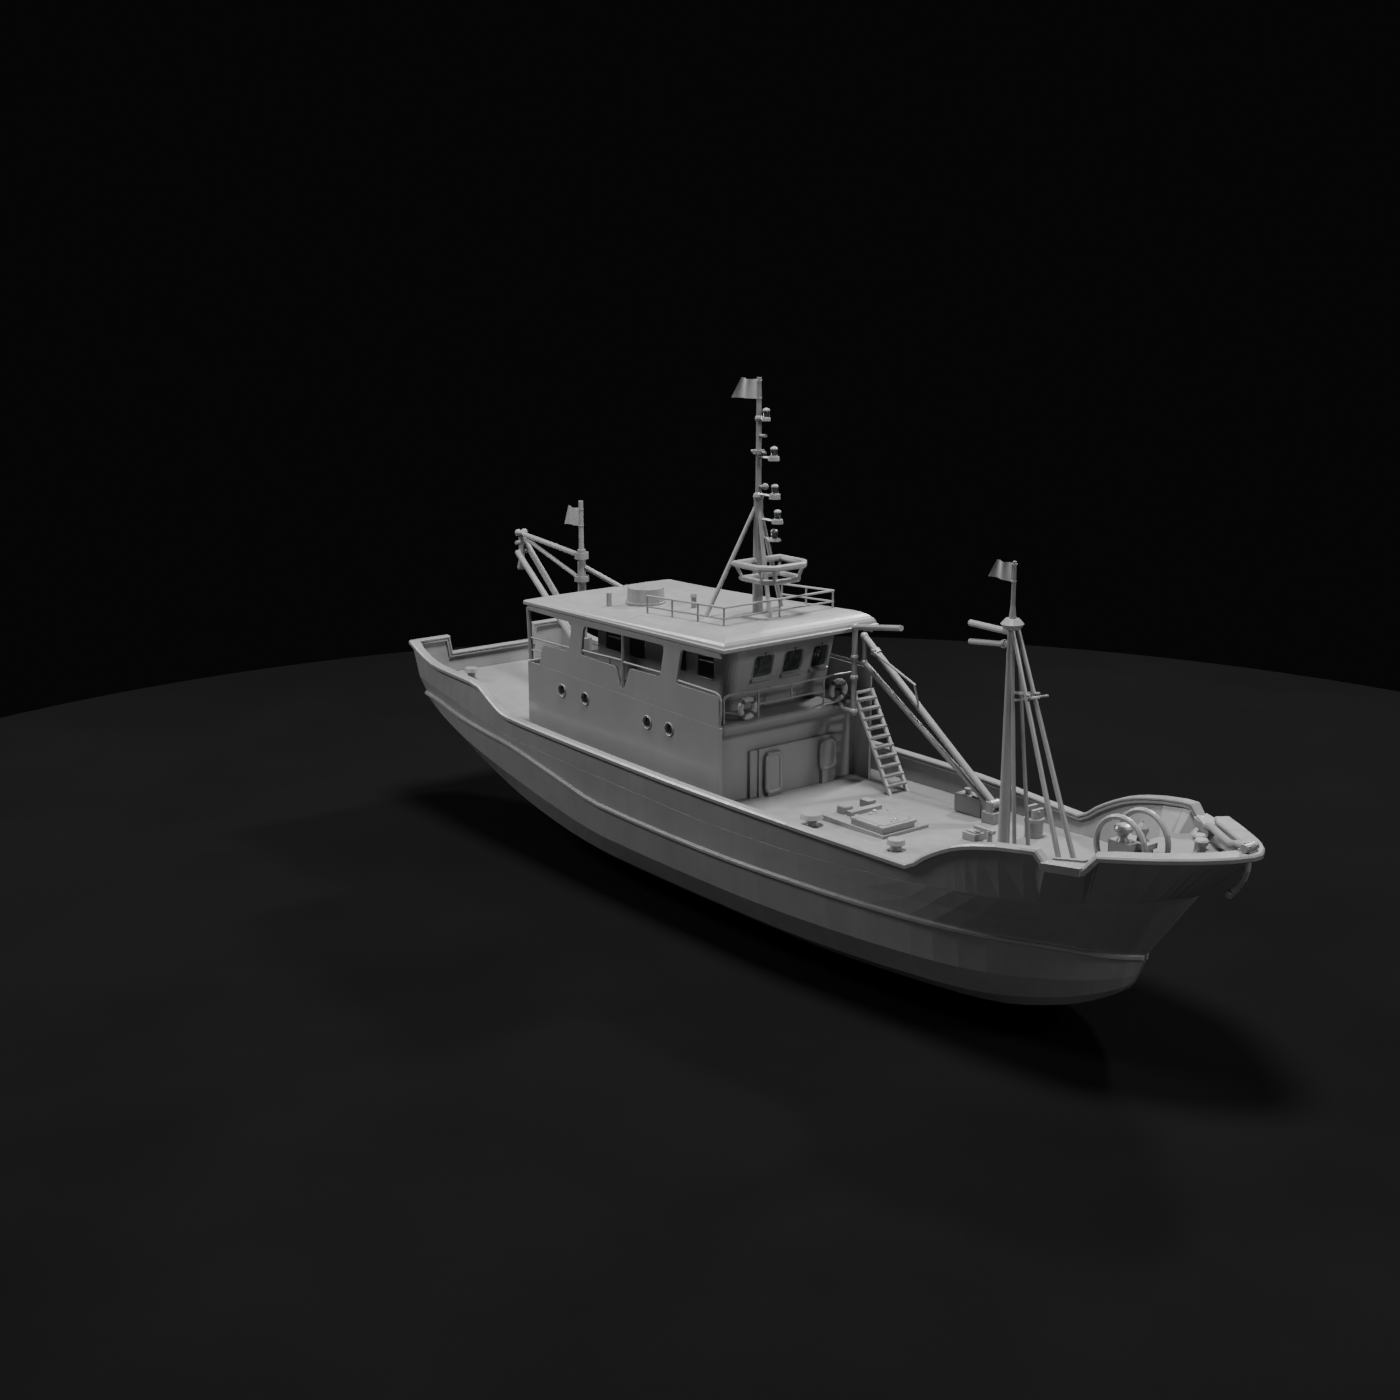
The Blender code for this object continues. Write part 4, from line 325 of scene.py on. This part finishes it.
def paint(name, grey, rough, streak=0.10, grain=0.0, plates=None, edge=0.012):
    """Marine paint: uneven gloss, faint run-down streaks, lighter worn edges and, on plating, weld seams."""
    n = Nodes(name)
    patches = n.spread(n.noise(0.55, 5), 0.35, 0.68)
    runs = n.spread(n.noise(2.2, 6, 0.62, (1.6, 1.6, 0.09)), 0.42, 0.72)
    fine = n.noise(9.0, 8, 0.6)
    dark = tuple(c * (1 - streak) for c in grey)
    light = tuple(min(1.0, c * (1 + 0.45 * streak)) for c in grey)
    colour = n.mix(patches, dark, light)
    colour = n.mix(n.math("MULTIPLY", runs, 0.5), colour, tuple(c * (1 - 1.7 * streak) for c in grey))
    normal, worn = edge_mask(n, edge)
    worn = n.math("MULTIPLY", worn, n.spread(fine, 0.40, 0.62, 0.15, 0.75))
    colour = n.mix(worn, colour, tuple(min(1.0, c * 1.32 + 0.03) for c in grey))
    height = n.math("MULTIPLY", n.noise(1.3, 3), 0.9)
    height = n.math("ADD", height, n.math("MULTIPLY", n.noise(120.0, 2), 0.05))
    if plates:
        long_side, tall = plates
        brick = n.add("ShaderNodeTexBrick", Scale=1.0)
        place = n.add("ShaderNodeTexCoord").outputs["Object"]
        parts = n.add("ShaderNodeSeparateXYZ", Vector=place)
        flat = n.add("ShaderNodeCombineXYZ", X=parts.outputs["X"], Y=parts.outputs["Z"], Z=0.0)
        n.put(brick, "Vector", flat.outputs["Vector"])
        for key, value in (("Mortar Size", 0.014), ("Mortar Smooth", 0.6), ("Brick Width", long_side),
                           ("Row Height", tall)):
            brick.inputs[key].default_value = value
        brick.offset = 0.5
        seam = brick.outputs["Fac"]
        height = n.math("ADD", height, n.math("MULTIPLY", seam, 0.22))
        colour = n.mix(n.math("MULTIPLY", seam, 0.16), colour, tuple(c * 1.15 for c in grey))
    if grain:
        grit = n.add("ShaderNodeTexVoronoi", Vector=n.place(), Scale=55.0).outputs["Distance"]
        height = n.math("ADD", height, n.math("MULTIPLY", grit, grain))
    n.put(n.shader, "Base Color", colour)
    n.put(n.shader, "Roughness", n.spread(n.noise(3.0, 5), 0.3, 0.7, rough - 0.06, rough + 0.10))
    n.shader.inputs["Coat Weight"].default_value = 0.12
    n.shader.inputs["Coat Roughness"].default_value = 0.22
    n.put(n.shader, "Normal", n.bump(height, 0.30, 0.012, normal))
    return n.material


def metal(name, grey, rough):
    n = Nodes(name)
    colour = n.mix(n.spread(n.noise(4.0, 6), 0.3, 0.7), tuple(c * 0.82 for c in grey), grey)
    normal, worn = edge_mask(n, 0.006)
    colour = n.mix(n.math("MULTIPLY", worn, 0.5), colour, tuple(min(1.0, c * 1.5) for c in grey))
    n.put(n.shader, "Base Color", colour)
    n.shader.inputs["Metallic"].default_value = 0.85
    n.put(n.shader, "Roughness", n.spread(n.noise(14.0, 4), 0.3, 0.7, rough - 0.07, rough + 0.1))
    n.put(n.shader, "Normal", n.bump(n.noise(60.0, 3), 0.25, 0.003, normal))
    return n.material


def glass(name):
    n = Nodes(name)
    tone = n.spread(n.noise(1.2, 3), 0.3, 0.7)
    n.put(n.shader, "Base Color", n.mix(tone, (0.16, 0.17, 0.175), (0.22, 0.23, 0.235)))
    n.put(n.shader, "Roughness", n.spread(n.noise(5.0, 4), 0.3, 0.7, 0.03, 0.10))
    n.shader.inputs["Transmission Weight"].default_value = 0.85
    n.shader.inputs["IOR"].default_value = 1.45
    n.put(n.shader, "Normal", n.bump(n.noise(0.8, 2), 0.05, 0.01))
    return n.material


def rope_material(name, grey):
    n = Nodes(name)
    wave = n.add("ShaderNodeTexWave", Vector=n.place(), Scale=38.0, Distortion=1.5)
    wave.bands_direction = "DIAGONAL"
    strand_relief_and_groove_shade = wave.outputs["Fac"]
    # The colour darkens in the grooves between strands, where the bump is lowest: this is painted shade, not a
    # colour of the rope.
    n.put(n.shader, "Base Color", n.mix(strand_relief_and_groove_shade, tuple(c * 0.7 for c in grey), grey))
    n.put(n.shader, "Roughness", n.spread(n.noise(20.0, 3), 0.3, 0.7, 0.7, 0.9))
    n.put(n.shader, "Normal", n.bump(strand_relief_and_groove_shade, 0.5, 0.004))
    return n.material


def cloth(name, grey):
    n = Nodes(name)
    warp = n.add("ShaderNodeTexWave", Vector=n.place(), Scale=160.0)
    warp.bands_direction = "X"
    weft = n.add("ShaderNodeTexWave", Vector=n.place(), Scale=160.0)
    weft.bands_direction = "Z"
    weave = n.math("MULTIPLY", warp.outputs["Fac"], weft.outputs["Fac"])
    tone = n.spread(n.noise(3.0, 5), 0.3, 0.7)
    n.put(n.shader, "Base Color", n.mix(tone, tuple(c * 0.86 for c in grey), grey))
    n.put(n.shader, "Roughness", n.spread(weave, 0.0, 1.0, 0.72, 0.92))
    n.shader.inputs["Sheen Weight"].default_value = 0.25
    n.put(n.shader, "Normal", n.bump(weave, 0.35, 0.002))
    return n.material


HULL = paint("hull_coat", (0.205, 0.205, 0.207), 0.36, 0.10, plates=(5.2, 1.35), edge=0.02)
HOUSE = paint("house_coat", (0.235, 0.235, 0.237), 0.34, 0.07, plates=(2.4, 1.9), edge=0.012)
DECK = paint("deck_coat", (0.165, 0.166, 0.168), 0.55, 0.12, grain=0.6, edge=0.012)
STEEL = paint("fitting_coat", (0.225, 0.225, 0.227), 0.32, 0.09, edge=0.010)
BRONZE = metal("bronze", (0.30, 0.285, 0.26), 0.38)
BRIGHT = metal("bare_steel", (0.42, 0.42, 0.42), 0.30)
RUBBER = paint("rubber", (0.055, 0.055, 0.056), 0.62, 0.15, edge=0.006)
GLASS = glass("pane")
ROPE = rope_material("rope", (0.30, 0.295, 0.285))
CLOTH = cloth("bunting", (0.26, 0.26, 0.262))
BUOY = paint("buoy_cover", (0.27, 0.27, 0.272), 0.50, 0.10, edge=0.02)

COATS = {
    "hull_paint": HULL,
    "house_paint": HOUSE,
    "deck_paint": DECK,
    "painted_steel": STEEL,
    "bronze": BRONZE,
}


def coat_nodes():
    for row in frame["record"]["subparts"]:
        node = NODES[row["node"]]
        coat = COATS[row["material_slot"]]
        if row["node"].startswith("lifebuoy"):
            coat = BUOY
        node.data.materials.clear()
        node.data.materials.append(coat)


# fittings that the solids leave out

# Wheelhouse front: forward face at the deck, the deck's height, and the rake in metres forward per metre up
WH_FRONT_X = -0.83
WH_FOOT_Z = 4.2
WH_RAKE = 0.25
FRONT_WINDOWS = [(-0.92, -0.20), (0.21, 0.93), (1.30, 1.92)]
FRONT_WINDOW_Z = (4.50, 5.18)
SIDE_WINDOWS = [(-2.25, -1.45), (-3.6, -2.75), (-5.6, -4.75), (-6.8, -5.95)]
SIDE_WINDOW_Z = (4.45, 5.15)
WINDOW_CORNER = 0.12
# Side walls of the wheelhouse: y of the outer face, side
SIDE_WALLS = [(-1.72, -1), (2.04, 1)]
# Portholes: x, z
PORTHOLES = [(-7.51, 3.15), (-6.28, 3.13), (-3.14, 3.04), (-2.09, 3.05)]
PORTHOLE_BOLTS = 8
PORTHOLE_RIM = 0.190
HOUSE_SIDE_Y = 2.88
# Lamps on the main mast: x, height of the base, base thickness
LAMPS = [
    (-1.28, 11.75, 0.08),
    (-0.93, 10.66, 0.12),
    (-0.88, 9.58, 0.14),
    (-0.75, 8.89, 0.12),
    (-0.89, 8.38, 0.06),
]
LENS_RIBS = 7
# Flags: name, mast node, pole x, pole radius, hoist foot, hoist head, fly foot and fly head as (x, z)
FLAGS = [
    ("main", "main_mast", -1.60, 0.075, (-1.70, 12.34), (-1.70, 12.90), (-2.78, 12.30), (-2.42, 12.90)),
    ("aft", "aft_post", -10.50, 0.080, (-10.61, 7.60), (-10.61, 8.20), (-11.38, 7.58), (-11.24, 8.20)),
    ("fore", "fore_mast", 8.30, 0.055, (8.21, 8.54), (8.21, 9.03), (7.46, 8.58), (7.68, 9.03)),
]
BUOYS = [("lifebuoy_stbd", -1.72), ("lifebuoy_port", 1.72)]
BUOY_MAJOR = 0.26
BUOY_MINOR = 0.085
BUOY_BANDS = 4
BAND_STEP = math.radians(3.4)
# Hatch lid: its top, handles' x, dogs' (x, y), and the round cap beside it
LID_TOP_Z = 1.470
HANDLE_X = (3.85, 4.70)
DOGS = [(3.80, -1.00), (4.70, -1.00), (3.80, 0.18), (4.70, 0.18)]
CAP_CENTRE = (2.74, -0.42)
CAP_BOLT_RING = 0.17
# Round lights of the two aft doors: height over the door's foot, depth of the face inside the box, rim
DOOR_LIGHT_UP = 1.30
DOOR_FACE_IN = 0.065
DOOR_RIM = 0.150
# Helm: the wheel's x and radius, the screens' (aft face, fore face) and places abeam, the chair's x
WHEEL_X = -2.40
WHEEL_RADIUS = 0.27
SCREEN_X = (-1.98, -1.92)
SCREEN_Y = (-0.80, 0.55, 0.95)
CHAIR_X = -3.15
# Anodes: the plates' side, then x, z and thickness on the skeg and on the rudder
PLATE_SIDE_Y = 0.070
SKEG_ANODE_X = (-8.2, -9.2)
SKEG_ANODE_Z = (-2.02, -1.90)
SKEG_ANODE_HALF = 0.16
SKEG_ANODE_THICK = 0.03
RUDDER_ANODE_X = (-12.75, -12.45)
RUDDER_ANODE_Z = (-1.85, -1.45)
RUDDER_ANODE_HALF = 0.05
RUDDER_ANODE_THICK = 0.025
# Bolts round the foot of the boom's pedestal, and along the pads on the bow rail
PEDESTAL_BOLT_X = (5.60, 6.00)
PEDESTAL_BOLT_Y = (2.08, 2.52)
PEDESTAL_FOOT_Z = 1.5205
PAD_X = 12.24
PAD_LENGTH = 0.86
PAD_Y_AFT = 2.80
PAD_Y_FORE = 2.56
PAD_TOP_Z = 2.900


def front_x(z):
    """Forward face of the raked wheelhouse front."""
    return WH_FRONT_X + WH_RAKE * (z - WH_FOOT_Z)


def slab(outline, low, high, place):
    """A flat outline given thickness; place turns (u, v, level) into a point."""
    bm = bmesh.new()
    first = [bm.verts.new(place(u, v, low)) for u, v in outline]
    second = [bm.verts.new(place(u, v, high)) for u, v in outline]
    bm.faces.new(first)
    bm.faces.new(second[::-1])
    count = len(outline)
    for i in range(count):
        j = (i + 1) % count
        bm.faces.new((first[i], second[i], second[j], first[j]))
    return bm


def turned(centre, profile, sides=28, axis="Z"):
    """A round shape turned from (height, radius) pairs about an axis through centre."""
    bm = bmesh.new()
    rings = []
    for height, radius in profile:
        row = []
        for k in range(sides):
            a = 2 * math.pi * k / sides
            c, d = radius * math.cos(a), radius * math.sin(a)
            offset = {"X": (height, c, d), "Y": (c, height, d), "Z": (c, d, height)}[axis]
            row.append(bm.verts.new([p + q for p, q in zip(centre, offset)]))
        rings.append(row)
    for a, b in zip(rings, rings[1:]):
        for k in range(sides):
            j = (k + 1) % sides
            bm.faces.new((a[k], a[j], b[j], b[k]))
    bm.faces.new(rings[0][::-1])
    bm.faces.new(rings[-1])
    return bm


def bolt(centre, radius, axis, out=1):
    """A domed bolt head on a face."""
    profile = [(0.0, radius), (out * 0.006, radius), (out * 0.012, radius * 0.72), (out * 0.014, radius * 0.3)]
    return turned(centre, profile, 10, axis)


def wiper(middle, z1):
    """A wiper over one front window: motor housing, arm and blade."""
    top = z1 + 0.055
    hub = (front_x(top) + 0.022, middle, top)
    arm_end = (front_x(z1 - 0.28) + 0.012, middle - 0.13, z1 - 0.28)
    blade_top = (front_x(z1 - 0.08) + 0.008, middle - 0.17, z1 - 0.08)
    blade_foot = (front_x(z1 - 0.48) + 0.008, middle - 0.10, z1 - 0.48)
    housing = [(-0.015, 0.030), (0.012, 0.030), (0.022, 0.018)]
    return [turned((front_x(top) + 0.012, middle, top), housing, 14, "X"), rod(hub, arm_end, 0.008, sides=8),
            rod(blade_top, blade_foot, 0.009, sides=8)]


def front_glazing():
    z0, z1 = FRONT_WINDOW_Z
    panes, seals, wipers = [], [], []
    for y0, y1 in FRONT_WINDOWS:
        outline = rounded((y0 + 0.002, z0 + 0.002), (y1 - 0.002, z1 - 0.002), WINDOW_CORNER)
        panes.append(slab(outline, -0.045, -0.033, lambda u, v, level: (front_x(v) + level, u, v)))
        outline = rounded((y0 - 0.012, z0 - 0.004), (y1 + 0.012, z1 + 0.012), WINDOW_CORNER + 0.01)
        seals.append(tube([(front_x(v) + 0.006, u, v) for u, v in outline], 0.018, 8, closed=True))
        inner = rounded((y0 + 0.012, z0 + 0.012), (y1 - 0.012, z1 - 0.012), WINDOW_CORNER - 0.01)
        seals.append(tube([(front_x(v) - 0.030, u, v) for u, v in inner], 0.012, 8, closed=True))
        wipers += wiper((y0 + y1) / 2, z1)
    group("front_panes", panes, GLASS)
    group("front_seals", seals, STEEL)
    group("window_wipers", wipers, RUBBER)


def side_glazing():
    z0, z1 = SIDE_WINDOW_Z
    panes, seals = [], []
    for wall, side in SIDE_WALLS:
        for x0, x1 in SIDE_WINDOWS:
            outline = rounded((x0 + 0.002, z0 + 0.002), (x1 - 0.002, z1 - 0.002), WINDOW_CORNER)
            inner, outer = wall - side * 0.045, wall - side * 0.033
            panes.append(slab(outline, inner, outer, lambda u, v, level: (u, level, v)))
            outline = rounded((x0 - 0.012, z0 - 0.012), (x1 + 0.012, z1 + 0.012), WINDOW_CORNER + 0.01)
            seals.append(tube([(u, wall + side * 0.006, v) for u, v in outline], 0.018, 8, closed=True))
    group("side_panes", panes, GLASS)
    group("side_seals", seals, STEEL)


def portholes():
    panes, rims, bolts = [], [], []
    for side in (-1, 1):
        y = side * HOUSE_SIDE_Y
        for x, z in PORTHOLES:
            panes.append(turned((x, y - side * 0.05, z), [(-0.006, 0.168), (0.006, 0.168)], 32, "Y"))
            rims.append(ring((x, y + side * 0.004, z), PORTHOLE_RIM, 0.022, "Y", 40, 10))
            rims.append(ring((x, y - side * 0.038, z), 0.158, 0.014, "Y", 32, 8))
            for k in range(PORTHOLE_BOLTS):
                a = 2 * math.pi * (k + 0.5) / PORTHOLE_BOLTS
                place = (x + PORTHOLE_RIM * math.cos(a), y + side * 0.024, z + PORTHOLE_RIM * math.sin(a))
                bolts.append(bolt(place, 0.012, "Y", side))
    group("porthole_panes", panes, GLASS)
    group("porthole_rims", rims, STEEL)
    group("porthole_bolts", bolts, BRIGHT)


def mast_lamps():
    """Ribbed lens, domed cap and base ring on each lamp of the main mast."""
    lens = [(0.03, 0.094)]
    for k in range(LENS_RIBS):
        level = 0.035 + 0.022 * k
        lens += [(level, 0.099), (level + 0.011, 0.106), (level + 0.021, 0.099)]
    lens.append((0.195, 0.094))
    cap = [(0.195, 0.104), (0.225, 0.108), (0.262, 0.085), (0.280, 0.045), (0.286, 0.02)]
    collar = [(-0.004, 0.112), (0.012, 0.116), (0.030, 0.104)]
    lenses, caps = [], []
    for x, z, thick in LAMPS:
        base = (x, 0, z + thick)
        lenses.append(turned(base, lens))
        caps.append(turned(base, cap))
        caps.append(turned(base, collar))
    group("lamp_lenses", lenses, GLASS)
    group("lamp_caps", caps, STEEL)


def flag(name, mast, pole_x, pole_radius, foot, head, fly_foot, fly_head):
    """A plain flag hung from its hoist, with a fold or two running down from the head, tied to the pole."""
    across, down = 30, 16
    bm = bmesh.new()
    half = 0.0015
    length = math.dist(head, fly_head)
    drop = 0.05 * math.dist(foot, head)

    def point(u, v, layer):
        """u runs from hoist to fly, v from foot to head."""
        low = [a + (b - a) * u for a, b in zip(foot, fly_foot)]
        high = [a + (b - a) * u for a, b in zip(head, fly_head)]
        x = low[0] + (high[0] - low[0]) * v
        z = low[1] + (high[1] - low[1]) * v - drop * math.sin(math.pi * u) * v
        wave = 0.085 * length * math.sin(2 * math.pi * (1.35 * u + 0.25 * (1 - v)) + 0.4) * min(1.0, 2.2 * u)
        return (x, wave + layer * half, z)

    grids = []
    for layer in (-1, 1):
        grids.append([[bm.verts.new(point(i / across, k / down, layer)) for k in range(down + 1)]
                      for i in range(across + 1)])
    for grid in grids:
        for i in range(across):
            for k in range(down):
                bm.faces.new((grid[i][k], grid[i + 1][k], grid[i + 1][k + 1], grid[i][k + 1]))
    area = sum(face.calc_area() for face in bm.faces) / 2
    a, b = grids
    border = [(i, 0) for i in range(across)] + [(across, k) for k in range(down)]
    border += [(i, down) for i in range(across, 0, -1)] + [(0, k) for k in range(down, 0, -1)]
    for (i, k), (m, n) in zip(border, border[1:] + border[:1]):
        bm.faces.new((a[i][k], a[m][n], b[m][n], b[i][k]))
    item = piece_from(f"flag_{name}", bm, CLOTH, VESSEL, 60)
    ties = []
    for share in (0.06, 0.94):
        z = foot[1] + (head[1] - foot[1]) * share
        near = Vector((foot[0] + (head[0] - foot[0]) * share, 0, z))
        ties.append(ring((pole_x, 0, z), pole_radius + 0.008, 0.007, "Z", 24, 8))
        ties.append(rod((pole_x - pole_radius - 0.006, 0, z), near + Vector((-0.012, 0, 0)), 0.006, sides=8))
    group(f"flag_ties_{name}", ties, ROPE)


def lifebuoy_bands():
    """Four bands round each lifebuoy, and the eyes of its grab line."""
    bands = []
    for node, y in BUOYS:
        low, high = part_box(node)
        x = (low[0] + high[0]) / 2
        z = (low[2] + high[2]) / 2
        for k in range(BUOY_BANDS):
            middle = 2 * math.pi * (k + 0.5) / BUOY_BANDS
            path = []
            for step in range(-3, 4):
                a = middle + BAND_STEP * step
                path.append((x, y + BUOY_MAJOR * math.cos(a), z + BUOY_MAJOR * math.sin(a)))
            bands.append(tube(path, BUOY_MINOR + 0.004, 20))
            reach = BUOY_MAJOR + BUOY_MINOR + 0.010
            for step in (-2, 2):
                a = middle + BAND_STEP * step
                eye = (x, y + reach * math.cos(a), z + reach * math.sin(a))
                bands.append(ring(eye, 0.012, 0.004, "X", 16, 6))
    group("lifebuoy_bands", bands, RUBBER)


def hatch_fittings():
    """Handles and dogs that ride on the hatch lid, and the bolted round cap beside it."""
    handles, dogs = [], []
    # Side view of a handle: y, height over the lid
    bow = [(-0.53, 0.0), (-0.53, 0.060), (-0.50, 0.085), (-0.32, 0.085), (-0.29, 0.060), (-0.29, 0.0)]
    for x in HANDLE_X:
        handles.append(tube([(x, y, LID_TOP_Z + up) for y, up in bow], 0.011, 10))
    for x, y in DOGS:
        dogs.append(turned((x, y, LID_TOP_Z - 0.002),
                           [(0.0, 0.032), (0.012, 0.032), (0.030, 0.020), (0.036, 0.008)], 16))
        lever_z = LID_TOP_Z + 0.022
        dogs.append(rod((x - 0.055, y, lever_z), (x + 0.055, y, lever_z), 0.008, sides=8))
    group("hatch_handles", handles, BRIGHT, "hatch_lid")
    group("hatch_dogs", dogs, STEEL, "hatch_lid")
    x, y = CAP_CENTRE
    caps = [turned((x, y, LID_TOP_Z - 0.002), [(0.0, 0.20), (0.016, 0.20), (0.024, 0.17), (0.030, 0.05)], 32)]
    for k in range(6):
        a = math.radians(60 * k)
        place = (x + CAP_BOLT_RING * math.cos(a), y + CAP_BOLT_RING * math.sin(a), LID_TOP_Z + 0.018)
        caps.append(bolt(place, 0.016, "Z"))
    group("hatch_cap", caps, STEEL)


def door_windows():
    """A round light in each steel door, with its rim and bolts."""
    for node in ("house_door", "wheelhouse_door"):
        low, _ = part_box(node)
        face = low[0] + DOOR_FACE_IN
        z = low[2] + DOOR_LIGHT_UP
        rim = [ring((face - 0.006, 0.0, z), DOOR_RIM, 0.018, "X", 36, 10)]
        for k in range(6):
            a = math.radians(60 * k + 30)
            place = (face - 0.024, DOOR_RIM * math.cos(a), z + DOOR_RIM * math.sin(a))
            rim.append(bolt(place, 0.010, "X", -1))
        group(f"{node}_rim", rim, STEEL, node)
        pane = turned((face - 0.002, 0.0, z), [(-0.006, 0.128), (-0.003, 0.142), (0.0, 0.142)], 32, "X")
        group(f"{node}_light", [pane], GLASS, node)


def helm():
    """Steering wheel and screens at the console, and a hard chair behind them."""
    low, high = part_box("console")
    floor, top = low[2], high[2]
    hub = (WHEEL_X, 0.0, top - 0.02)
    wheel = [ring(hub, WHEEL_RADIUS, 0.016, "X", 40, 10),
             turned(hub, [(-0.03, 0.03), (0.0, 0.05), (0.10, 0.035)], 20, "X")]
    for k in range(6):
        a = math.radians(60 * k)
        rim = (hub[0], hub[1] + WHEEL_RADIUS * math.cos(a), hub[2] + WHEEL_RADIUS * math.sin(a))
        wheel.append(rod(hub, rim, 0.010, sides=8))
    group("steering_wheel", wheel, BRIGHT)
    screens = []
    aft, fore = SCREEN_X
    middle = (aft + fore) / 2
    for y in SCREEN_Y:
        screens.append(block((aft, y - 0.19, top + 0.045), (fore, y + 0.19, top + 0.33), 0.012))
        screens.append(rod((middle, y, top - 0.002), (middle, y, top + 0.06), 0.03, sides=14))
    group("console_screens", screens, RUBBER)
    x = CHAIR_X
    stem = [(0.0, 0.26), (0.02, 0.26), (0.05, 0.06), (0.55, 0.045), (0.58, 0.10)]
    chair = [turned((x, 0, floor + 0.001), stem, 24),
             block((x - 0.24, -0.25, floor + 0.58), (x + 0.24, 0.25, floor + 0.68), 0.04, 3),
             block((x - 0.27, -0.24, floor + 0.66), (x - 0.17, 0.24, floor + 1.28), 0.04, 3)]
    group("helm_chair", chair, RUBBER)


def anode(x_range, z_range, side, thick):
    """A zinc block on one side of a plate."""
    y0, y1 = sorted((side * PLATE_SIDE_Y, side * (PLATE_SIDE_Y + thick)))
    return block((x_range[0], y0, z_range[0]), (x_range[1], y1, z_range[1]), 0.012)


def anodes():
    """Zinc blocks bolted to the skeg and the rudder."""
    fixed, moving = [], []
    for side in (-1, 1):
        for x in SKEG_ANODE_X:
            span = (x - SKEG_ANODE_HALF, x + SKEG_ANODE_HALF)
            fixed.append(anode(span, SKEG_ANODE_Z, side, SKEG_ANODE_THICK))
        for z in RUDDER_ANODE_Z:
            span = (z - RUDDER_ANODE_HALF, z + RUDDER_ANODE_HALF)
            moving.append(anode(RUDDER_ANODE_X, span, side, RUDDER_ANODE_THICK))
    group("skeg_anodes", fixed, BRIGHT)
    group("rudder_anodes", moving, BRIGHT, "rudder")


def deck_fasteners():
    """Bolts round the foot of the boom's pedestal and along the bow pads."""
    heads = []
    for x in PEDESTAL_BOLT_X:
        for y in PEDESTAL_BOLT_Y:
            heads.append(bolt((x, y, PEDESTAL_FOOT_Z), 0.018, "Z"))
    for side in (-1, 1):
        for share in (0.14, 0.5, 0.86):
            x = PAD_X + PAD_LENGTH * share
            y = PAD_Y_AFT + (PAD_Y_FORE - PAD_Y_AFT) * share
            heads.append(bolt((x, side * y, PAD_TOP_Z), 0.022, "Z"))
    group("deck_bolts", heads, BRIGHT)


camera()
stage()
coat_nodes()
front_glazing()
side_glazing()
portholes()
mast_lamps()
for row in FLAGS:
    flag(*row)
lifebuoy_bands()
hatch_fittings()
door_windows()
helm()
anodes()
deck_fasteners()
